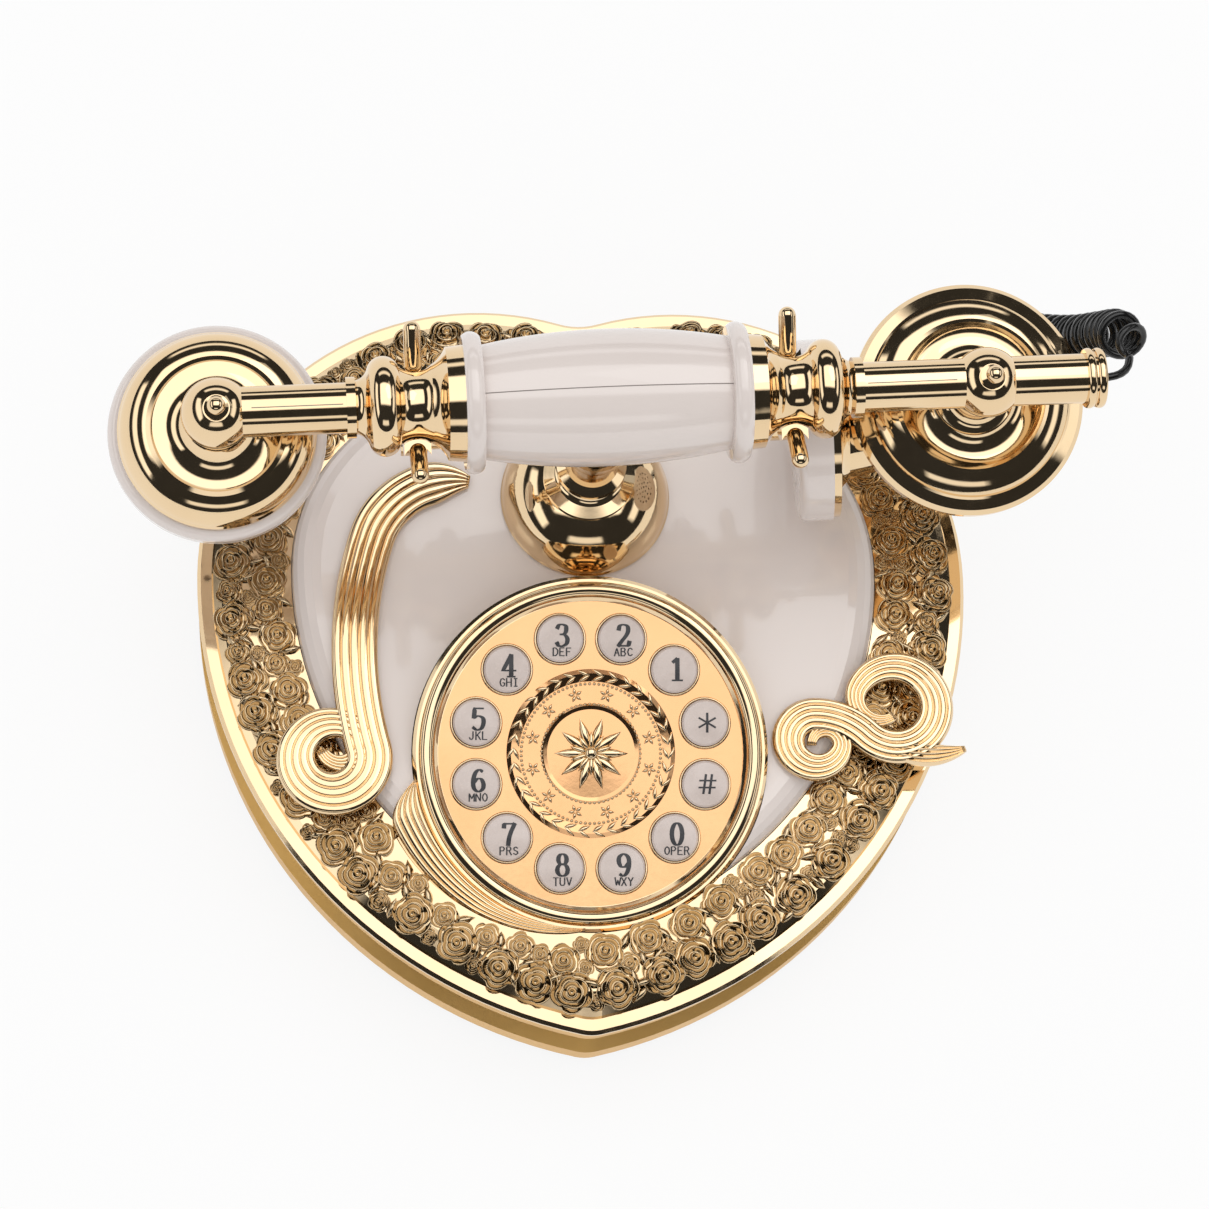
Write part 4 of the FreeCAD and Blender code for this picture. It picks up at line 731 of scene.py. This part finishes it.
STROKES = {
    "1": (("line", ((0.16, 0.84), (0.34, 1.0))), ("line", ((0.36, 1.0), (0.36, 0.0))),
          ("line", ((0.14, 0.0), (0.58, 0.0)))),
    "2": (("curve", ((0.10, 0.76), (0.16, 0.94), (0.32, 1.0), (0.50, 0.93), (0.54, 0.74), (0.46, 0.52),
                     (0.26, 0.26), (0.08, 0.02))), ("line", ((0.06, 0.02), (0.55, 0.02), (0.60, 0.22)))),
    "3": (("curve", ((0.09, 0.82), (0.18, 0.97), (0.33, 1.0), (0.49, 0.92), (0.50, 0.70), (0.40, 0.57),
                     (0.24, 0.54))),
          ("curve", ((0.24, 0.54), (0.44, 0.51), (0.56, 0.34), (0.52, 0.12), (0.33, 0.0), (0.16, 0.02),
                     (0.07, 0.16)))),
    "4": (("line", ((0.42, 1.0), (0.04, 0.28), (0.62, 0.28))), ("line", ((0.42, 1.0), (0.42, 0.0))),
          ("line", ((0.26, 0.0), (0.58, 0.0)))),
    "5": (("line", ((0.54, 0.99), (0.16, 0.99), (0.12, 0.56))),
          ("curve", ((0.12, 0.56), (0.32, 0.64), (0.53, 0.54), (0.56, 0.30), (0.46, 0.07), (0.26, 0.0),
                     (0.08, 0.11)))),
    "6": (("curve", SIX),),
    "7": (("line", ((0.08, 0.80), (0.10, 0.98), (0.58, 0.98))),
          ("curve", ((0.58, 0.98), (0.42, 0.64), (0.32, 0.32), (0.28, 0.0)))),
    "8": (("curve", oval(SIGN_MIDDLE, 0.76, 0.19, 0.24)), ("curve", oval(SIGN_MIDDLE, 0.27, 0.24, 0.27))),
    "9": (("curve", tuple((2 * SIGN_MIDDLE - x, 1.0 - y) for x, y in SIX)),),
    "0": (("curve", oval(SIGN_MIDDLE, 0.5, 0.24, 0.5)),),
    "star": tuple(("line", tuple((SIGN_MIDDLE + arm * math.cos(turn), 0.5 + arm * math.sin(turn))
                                 for arm in (-STAR_ARM, STAR_ARM)))
                  for turn in (math.radians(30), math.radians(90), math.radians(150))),
    "hash": (("line", ((0.13, 0.08), (0.25, 0.92))), ("line", ((0.41, 0.08), (0.53, 0.92))),
             ("line", ((-0.06, 0.34), (0.66, 0.34))), ("line", ((-0.02, 0.66), (0.70, 0.66)))),
}


def smooth_run(points, steps=5):
    # A curve through the points, each span bent by its neighbours
    ends = [points[0]] + list(points) + [points[-1]]
    run = []
    for a, b, c, d in zip(ends, ends[1:], ends[2:], ends[3:]):
        for step in range(steps):
            t = step / steps
            run.append(tuple(0.5 * (2 * q + (r - p) * t + (2 * p - 5 * q + 4 * r - w) * t * t
                                    + (3 * q - 3 * r + w - p) * t ** 3) for p, q, r, w in zip(a, b, c, d)))
    run.append(points[-1])
    return run


def straight_run(points, steps=6):
    run = []
    for (a, b), (c, d) in zip(points, points[1:]):
        run += [(a + (c - a) * step / steps, b + (d - b) * step / steps) for step in range(steps)]
    return run + [points[-1]]


def stroke_outline(kind, points, wide, thin):
    run = smooth_run(points) if kind == "curve" else straight_run(points)
    lefts = []
    rights = []
    for index, (x, y) in enumerate(run):
        before = run[max(index - 1, 0)]
        after = run[min(index + 1, len(run) - 1)]
        way = Vector((after[0] - before[0], after[1] - before[1])).normalized()
        normal = Vector((-way.y, way.x))
        half = math.hypot(wide * normal.x, thin * normal.y)
        end = way * (thin if index == len(run) - 1 else -thin if index == 0 else 0.0)
        lefts.append(Vector((x, y)) + normal * half + end)
        rights.append(Vector((x, y)) - normal * half + end)
    return lefts, rights


dial_turn = Matrix.Rotation(math.radians(DIAL_TILT), 4, "X")
dial_frame = Matrix.Translation((0, DIAL_Y, DIAL_Z)) @ dial_turn


def on_dial(x, y, z):
    return place(dial_frame @ Vector((x, y, z)))


def button_spot(index):
    angle = math.radians(FIRST_BUTTON + BUTTON_STEP * index)
    return Vector((BUTTON_CIRCLE * math.cos(angle), BUTTON_CIRCLE * math.sin(angle), 0))


def button_rise(flat):
    return BUTTON_PROUD + BUTTON_CROWN * (1 - flat.length / (BUTTON_RADIUS - BUTTON_CROWN))


def add_strip(points, faces, lefts, rights, spot, layer):
    # Thin raised ink that follows the button's crown; lefts and rights count from the button's middle
    start = len(points)
    for left, right in zip(lefts, rights):
        for lift in (-INK_SINK, INK_THICK + layer * INK_LAYER):
            for flat in (left, right):
                points.append(on_dial(spot.x + flat.x, spot.y + flat.y, button_rise(flat) + lift))
    for row in range(len(lefts) - 1):
        a = start + 4 * row
        b = a + 4
        faces += [(a + 2, a + 3, b + 3, b + 2), (a, b, b + 1, a + 1)]
        faces += [(a, a + 2, b + 2, b), (a + 1, b + 1, b + 3, a + 3)]
    last = start + 4 * (len(lefts) - 1)
    faces += [(start, start + 1, start + 3, start + 2), (last, last + 2, last + 3, last + 1)]


# Block letters under the digits, lines in a box 0.6 wide and 1 high
BLOCK = {
    "A": (((0, 0), (0.3, 1), (0.6, 0)), ((0.12, 0.36), (0.48, 0.36))),
    "B": (((0, 0), (0, 1), (0.4, 1), (0.52, 0.78), (0.4, 0.54), (0, 0.54)),
          ((0.4, 0.54), (0.58, 0.28), (0.42, 0), (0, 0))),
    "C": (((0.58, 0.82), (0.38, 1), (0.14, 0.92), (0, 0.5), (0.14, 0.08), (0.38, 0), (0.58, 0.18)),),
    "D": (((0, 0), (0, 1), (0.32, 1), (0.58, 0.72), (0.58, 0.28), (0.32, 0), (0, 0)),),
    "E": (((0.55, 1), (0, 1), (0, 0), (0.55, 0)), ((0, 0.52), (0.42, 0.52))),
    "F": (((0.55, 1), (0, 1), (0, 0)), ((0, 0.52), (0.42, 0.52))),
    "G": (((0.58, 0.82), (0.38, 1), (0.14, 0.92), (0, 0.5), (0.14, 0.08), (0.38, 0), (0.58, 0.14),
           (0.58, 0.44), (0.36, 0.44)),),
    "H": (((0, 0), (0, 1)), ((0.58, 0), (0.58, 1)), ((0, 0.52), (0.58, 0.52))),
    "I": (((0.3, 0), (0.3, 1)), ((0.12, 1), (0.48, 1)), ((0.12, 0), (0.48, 0))),
    "J": (((0.48, 1), (0.48, 0.22), (0.32, 0), (0.12, 0.04), (0.04, 0.24)),),
    "K": (((0, 0), (0, 1)), ((0.56, 1), (0, 0.42)), ((0.18, 0.58), (0.58, 0))),
    "L": (((0, 1), (0, 0), (0.54, 0)),),
    "M": (((0, 0), (0, 1), (0.32, 0.3), (0.64, 1), (0.64, 0)),),
    "N": (((0, 0), (0, 1), (0.58, 0), (0.58, 1)),),
    "O": (((0.3, 1), (0.08, 0.84), (0, 0.5), (0.08, 0.16), (0.3, 0), (0.52, 0.16), (0.6, 0.5), (0.52, 0.84),
           (0.3, 1)),),
    "P": (((0, 0), (0, 1), (0.4, 1), (0.56, 0.76), (0.4, 0.5), (0, 0.5)),),
    "R": (((0, 0), (0, 1), (0.4, 1), (0.54, 0.76), (0.4, 0.52), (0, 0.52)), ((0.3, 0.52), (0.58, 0))),
    "S": (((0.54, 0.84), (0.3, 1), (0.06, 0.86), (0.1, 0.6), (0.5, 0.42), (0.56, 0.16), (0.3, 0),
           (0.04, 0.16)),),
    "T": (((0.3, 0), (0.3, 1)), ((0, 1), (0.6, 1))),
    "U": (((0, 1), (0, 0.24), (0.14, 0.02), (0.44, 0.02), (0.58, 0.24), (0.58, 1)),),
    "V": (((0, 1), (0.3, 0), (0.6, 1)),),
    "W": (((0, 1), (0.18, 0), (0.36, 0.7), (0.54, 0), (0.72, 1)),),
    "X": (((0, 0), (0.58, 1)), ((0, 1), (0.58, 0))),
    "Y": (((0, 1), (0.3, 0.48), (0.6, 1)), ((0.3, 0.48), (0.3, 0))),
}


def add_stroke(points, faces, spot, outline, middle, height, shift, layer):
    # A stroke's outline, scaled about the middle of its box and set on the button
    sides = []
    for side in outline:
        flats = [((x - middle) * height, (y - 0.5) * height) for x, y in side]
        sides.append([Vector((x + shift.x, y + shift.y)) for x, y in flats])
    add_strip(points, faces, *sides, spot, layer)


def legend(index, sign):
    points = []
    faces = []
    spot = button_spot(index)
    word = LETTERS.get(sign, "")
    wide = PEN_WIDE if sign.isdigit() else PEN_SIGN
    shift = DIGIT_SHIFT if word else Vector((DIGIT_SHIFT.x, 0, 0))
    for layer, (kind, stroke) in enumerate(STROKES[sign]):
        outline = stroke_outline(kind, stroke, wide, PEN_THIN)
        add_stroke(points, faces, spot, outline, SIGN_MIDDLE, DIGIT_HEIGHT, shift, layer)
    for number, letter in enumerate(word):
        along = (number - 0.5 * (len(word) - 1)) * LETTER_PITCH * LETTER_HEIGHT
        shift = LETTER_SHIFT + Vector((along, 0, 0))
        for layer, stroke in enumerate(BLOCK[letter]):
            outline = stroke_outline("line", stroke, *LETTER_PEN)
            add_stroke(points, faces, spot, outline, LETTER_MIDDLE, LETTER_HEIGHT, shift, layer)
    return mesh_object("legend_" + sign, points, faces, False)


for number, sign in enumerate(BUTTON_NAMES):
    mark = legend(number, sign)
    mark.data.materials.append(ink)
    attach(mark, "key_" + sign)


# Dial medallion: a wreath, a ring of florets and a rosette, all plain ornament
MEDALLION_TOP = 0.9
WREATH_RADIUS = 21.2
WREATH_LEAVES = 34
WREATH_SPREAD = 0.75
WREATH_LEAN = 0.5
WREATH_LEAF = (3.9, 0.85, 0.75)         # length, half width and height
FLORET_CIRCLE = 16.4
FLORETS = 12
FLORET_PETALS = 5
FLORET_REACH = 1.15
FLORET_PETAL = (1.9, 0.62, 0.6)
ROSETTE_RADIUS = 10.2
ROSETTE_PETALS = 10
ROSETTE_TALL = 1.0
# Rows of petals: turn, middle as a share of the radius, lift, length as a share of the radius, half width
ROSETTE_ROWS = ((0.0, 0.56, 0.2, 0.86, 1.75), (0.5, 0.34, 0.6, 0.5, 1.0))
# Beads: (radius, height) from the top down, for a bead of radius 1
KNOB_PROFILE = ((0.02, 1.0), (0.38, 0.93), (0.71, 0.7), (0.93, 0.37), (1.0, -0.2))
KNOB_RADIUS = 1.9
KNOB_TALL = 0.75
KNOB_LIFT = 0.7
KNOB_SIDES = 16
BEAD_PROFILE = ((0.02, 1.0), (0.7, 0.7), (1.0, -0.2))
BEAD_RADIUS = 0.52
BEAD_TALL = 0.8
BEAD_PITCH = 1.25
BEAD_SIDES = 8
BEAD_RINGS = (19.0, 13.4)


def dial_spot(radius, angle, rise):
    outward = Vector((math.cos(angle), math.sin(angle), 0))
    origin = outward * radius + UP * rise
    turned = [dial_turn.to_3x3() @ way for way in (outward, UP.cross(outward), UP)]
    return (dial_frame @ origin, *turned)


def bead_rings(profile, sides):
    return [[step] * sides for step in profile]


def medallion():
    points = []
    faces = []
    for index in range(WREATH_LEAVES):
        angle = 2 * math.pi * index / WREATH_LEAVES
        for side in (1, -1):
            spot = dial_spot(WREATH_RADIUS + WREATH_SPREAD * side, angle, MEDALLION_TOP)
            add_leaf(points, faces, spot, math.pi / 2 - WREATH_LEAN * side, *WREATH_LEAF)
    for index in range(FLORETS):
        angle = 2 * math.pi * (index + 0.5) / FLORETS
        centre = dial_spot(FLORET_CIRCLE, angle, MEDALLION_TOP)
        for petal in range(FLORET_PETALS):
            turn = 2 * math.pi * petal / FLORET_PETALS
            reach = centre[1] * math.cos(turn) + centre[2] * math.sin(turn)
            spot = (centre[0] + reach * FLORET_REACH, *centre[1:])
            add_leaf(points, faces, spot, turn, *FLORET_PETAL)
    for turn, middle, lift, length, width in ROSETTE_ROWS:
        for index in range(ROSETTE_PETALS):
            angle = 2 * math.pi * (index + turn) / ROSETTE_PETALS
            spot = dial_spot(middle * ROSETTE_RADIUS, angle, MEDALLION_TOP + lift)
            add_leaf(points, faces, spot, 0.0, length * ROSETTE_RADIUS, width, ROSETTE_TALL)
    knob = dial_spot(0.0, 0.0, MEDALLION_TOP + KNOB_LIFT)
    add_rings(points, faces, bead_rings(KNOB_PROFILE, KNOB_SIDES), knob, KNOB_RADIUS, KNOB_TALL)
    for ring in BEAD_RINGS:
        count = int(2 * math.pi * ring / BEAD_PITCH)
        for index in range(count):
            spot = dial_spot(ring, 2 * math.pi * index / count, MEDALLION_TOP)
            add_rings(points, faces, bead_rings(BEAD_PROFILE, BEAD_SIDES), spot, BEAD_RADIUS, BEAD_TALL)
    return mesh_object("medallion_relief", points, faces)


finish_piece(medallion(), "plated_gold", "base")


# Raised collars round the buttons
COLLAR = ((6.42, -0.3), (6.42, 0.30), (6.55, 0.55), (6.80, 0.66), (7.05, 0.50), (7.20, 0.15), (7.22, -0.3))
COLLAR_SIDES = 48


def add_hoop(points, faces, profile, spot, sides):
    origin, outward, side, normal = spot
    start = len(points)
    count = len(profile)
    for index in range(sides):
        angle = 2 * math.pi * index / sides
        flat = outward * math.cos(angle) + side * math.sin(angle)
        for far, rise in profile:
            points.append(place(origin + flat * far + normal * rise))
    for index in range(sides):
        first = start + index * count
        second = start + (index + 1) % sides * count
        for step in range(count):
            after = (step + 1) % count
            faces.append((first + step, second + step, second + after, first + after))


def button_collars():
    points = []
    faces = []
    for index in range(len(BUTTON_NAMES)):
        angle = math.radians(FIRST_BUTTON + BUTTON_STEP * index)
        add_hoop(points, faces, COLLAR, dial_spot(BUTTON_CIRCLE, angle, 0.0), COLLAR_SIDES)
    return mesh_object("button_collars", points, faces)


finish_piece(button_collars(), "plated_gold", "base")


# Seam along the top of the handset, where its halves meet
GRIP_HALF = 32.0
GRIP_MIDDLE_RADIUS = 18.0
GRIP_END_RADIUS = 15.0
STICK_RADIUS = 6.6
STICK_RUN = (68.4, 92.0)
SEAM_HALF = 0.13
SEAM_PROUD = 0.03
SEAM_DEEP = 0.2
SEAM_STEPS = 40
SEAM_SECTION = ((-SEAM_HALF, -SEAM_DEEP), (SEAM_HALF, -SEAM_DEEP), (SEAM_HALF, SEAM_PROUD),
                (-SEAM_HALF, SEAM_PROUD))
cradle_turn = Matrix.Rotation(math.radians(CRADLE_YAW), 4, "Z")
handset_turn = cradle_turn @ Matrix.Rotation(math.radians(HANDSET_ROLL), 4, "X")
handset_frame = Matrix.Translation((0, PEDESTAL_Y, HANDSET_Z)) @ handset_turn


def grip_radius(along):
    sink = GRIP_MIDDLE_RADIUS - GRIP_END_RADIUS
    bow = (GRIP_HALF * GRIP_HALF + sink * sink) / (2 * sink)
    return GRIP_MIDDLE_RADIUS - bow + math.sqrt(bow * bow - along * along)


def add_seam(points, faces, run):
    start = len(points)
    for along, radius in run:
        for across, rise in SEAM_SECTION:
            points.append(place(handset_frame @ Vector((along, across, radius + rise))))
    for row in range(len(run) - 1):
        for index in range(4):
            after = (index + 1) % 4
            corner = start + 4 * row
            faces.append((corner + index, corner + 4 + index, corner + 4 + after, corner + after))
    last = start + 4 * (len(run) - 1)
    faces.append((start, start + 1, start + 2, start + 3))
    faces.append((last + 3, last + 2, last + 1, last))


def handset_seam():
    points = []
    faces = []
    spots = [GRIP_HALF * (2 * step / SEAM_STEPS - 1) for step in range(SEAM_STEPS + 1)]
    add_seam(points, faces, [(spot, grip_radius(spot)) for spot in spots])
    for side in (-1, 1):
        add_seam(points, faces, [(side * along, STICK_RADIUS) for along in STICK_RUN])
    return mesh_object("handset_seam", points, faces, False)


seam = handset_seam()
seam.data.materials.append(seam_grey)
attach(seam, "handset")


# Floor, light and background
FLOOR_HALF = 12.0            # metres, as the wall's height
WALL_HEIGHT = 2.0
FLOOR_COLOUR = (0.93, 0.93, 0.93, 1)
FLOOR_ROUGH = 0.7
FLOOR_WHITE = 0.86           # share of plain white in what the camera and mirrors see of the floor
ROOM_LEVEL = 0.03            # dim room that mirrors see between the panels
HORIZON = 0.05               # mirrors see white below this height
SOFT_LOW = 0.36              # soft light on matt surfaces, from the horizon
SOFT_RISE = 0.80             # and what it gains towards the top
PANEL_EDGE = 0.05
PANEL_FACING = 0.05          # a panel shows only where its own axis is more than this
LEAST_DEPTH = 0.02
# White panels: axis each lies along, side, middle, half sizes, level. The two numbers of a middle are the
# directions of the other two axes, divided by that of the first.
PANELS = (("Z", 1, (0.05, 0.20), (0.70, 0.50), 1.6), ("X", -1, (0.0, 0.62), (0.70, 0.20), 1.3),
          ("X", 1, (0.1, 0.62), (0.55, 0.16), 1.2), ("Y", 1, (0.0, 0.50), (0.60, 0.10), 1.1),
          ("Y", -1, (0.0, 0.60), (0.40, 0.14), 1.0))
KEY_SPOT = (0.5, 0.4, 1.2)   # metres, as the rest of the lamp
KEY_TARGET = (0, 0, 0.05)
KEY_SIZE = 0.8
KEY_POWER = 1.0


def number_node(tree, kind, first, second):
    node = tree.nodes.new("ShaderNodeMath")
    node.operation = kind
    for socket, value in zip(node.inputs, (first, second)):
        if isinstance(value, (int, float)):
            socket.default_value = value
        else:
            tree.links.new(value, socket)
    return node.outputs["Value"]


def is_seen(tree):
    # 1 for camera, mirror and see-through rays
    path = tree.nodes.new("ShaderNodeLightPath")
    total = path.outputs["Is Camera Ray"]
    for name in ("Is Glossy Ray", "Is Transmission Ray"):
        total = number_node(tree, "MAXIMUM", total, path.outputs[name])
    return total


def make_floor():
    # A wide floor with a low wall all round, so that the background stays white from low down too
    corners = ((-1, -1), (1, -1), (1, 1), (-1, 1))
    points = [(x * FLOOR_HALF, y * FLOOR_HALF, rise) for rise in (0.0, WALL_HEIGHT) for x, y in corners]
    faces = [(0, 1, 2, 3)]
    for index in range(4):
        after = (index + 1) % 4
        faces.append((index, index + 4, after + 4, after))
    floor = mesh_object("floor", points, faces, False)
    material, tree, shader = node_material("floor_white")
    shader.inputs["Base Color"].default_value = FLOOR_COLOUR
    shader.inputs["Roughness"].default_value = FLOOR_ROUGH
    white = tree.nodes.new("ShaderNodeEmission")
    mix = tree.nodes.new("ShaderNodeMixShader")
    tree.links.new(number_node(tree, "MULTIPLY", is_seen(tree), FLOOR_WHITE), mix.inputs["Fac"])
    tree.links.new(shader.outputs["BSDF"], mix.inputs[1])
    tree.links.new(white.outputs["Emission"], mix.inputs[2])
    tree.links.new(mix.outputs["Shader"], tree.nodes["Material Output"].inputs["Surface"])
    floor.data.materials.append(material)


def panel_node(tree, ways, axis, side, middle, half, level):
    depth = number_node(tree, "MAXIMUM", number_node(tree, "MULTIPLY", ways[axis], side), LEAST_DEPTH)
    total = None
    others = [ways[name] for name in "XYZ" if name != axis]
    for way, spot, reach in zip(others, middle, half):
        shift = number_node(tree, "SUBTRACT", number_node(tree, "DIVIDE", way, depth), spot)
        edge = tree.nodes.new("ShaderNodeMapRange")
        edge.inputs["From Min"].default_value = reach + PANEL_EDGE
        edge.inputs["From Max"].default_value = reach - PANEL_EDGE
        tree.links.new(number_node(tree, "ABSOLUTE", shift, 0.0), edge.inputs["Value"])
        inside = edge.outputs["Result"]
        total = inside if total is None else number_node(tree, "MULTIPLY", total, inside)
    facing = number_node(tree, "GREATER_THAN", depth, PANEL_FACING)
    return number_node(tree, "MULTIPLY", number_node(tree, "MULTIPLY", total, facing), level)


def make_world():
    world = bpy.data.worlds.new("studio")
    bpy.context.scene.world = world
    world.use_nodes = True
    tree = world.node_tree
    tree.nodes.clear()
    out = tree.nodes.new("ShaderNodeOutputWorld")
    coords = tree.nodes.new("ShaderNodeTexCoord")
    split = tree.nodes.new("ShaderNodeSeparateXYZ")
    tree.links.new(coords.outputs["Generated"], split.inputs["Vector"])
    level = number_node(tree, "LESS_THAN", split.outputs["Z"], HORIZON)
    level = number_node(tree, "MAXIMUM", level, ROOM_LEVEL)
    for panel in PANELS:
        level = number_node(tree, "ADD", level, panel_node(tree, split.outputs, *panel))
    mirrored = tree.nodes.new("ShaderNodeBackground")
    tree.links.new(level, mirrored.inputs["Color"])
    height = number_node(tree, "MAXIMUM", split.outputs["Z"], 0.0)
    soft = tree.nodes.new("ShaderNodeBackground")
    rise = number_node(tree, "MULTIPLY", height, SOFT_RISE)
    tree.links.new(number_node(tree, "ADD", rise, SOFT_LOW), soft.inputs["Color"])
    path = tree.nodes.new("ShaderNodeLightPath")
    mix = tree.nodes.new("ShaderNodeMixShader")
    tree.links.new(path.outputs["Is Glossy Ray"], mix.inputs["Fac"])
    tree.links.new(soft.outputs["Background"], mix.inputs[1])
    tree.links.new(mirrored.outputs["Background"], mix.inputs[2])
    tree.links.new(mix.outputs["Shader"], out.inputs["Surface"])


def area_lamp(name, spot, target, size, power):
    data = bpy.data.lights.new(name, "AREA")
    data.size = size
    data.energy = power
    lamp = bpy.data.objects.new(name, data)
    bpy.context.scene.collection.objects.link(lamp)
    lamp.location = spot
    lamp.rotation_euler = (Vector(target) - Vector(spot)).to_track_quat("-Z", "Y").to_euler()


make_floor()
make_world()
area_lamp("key", KEY_SPOT, KEY_TARGET, KEY_SIZE, KEY_POWER)
bpy.context.scene.view_settings.view_transform = "Standard"
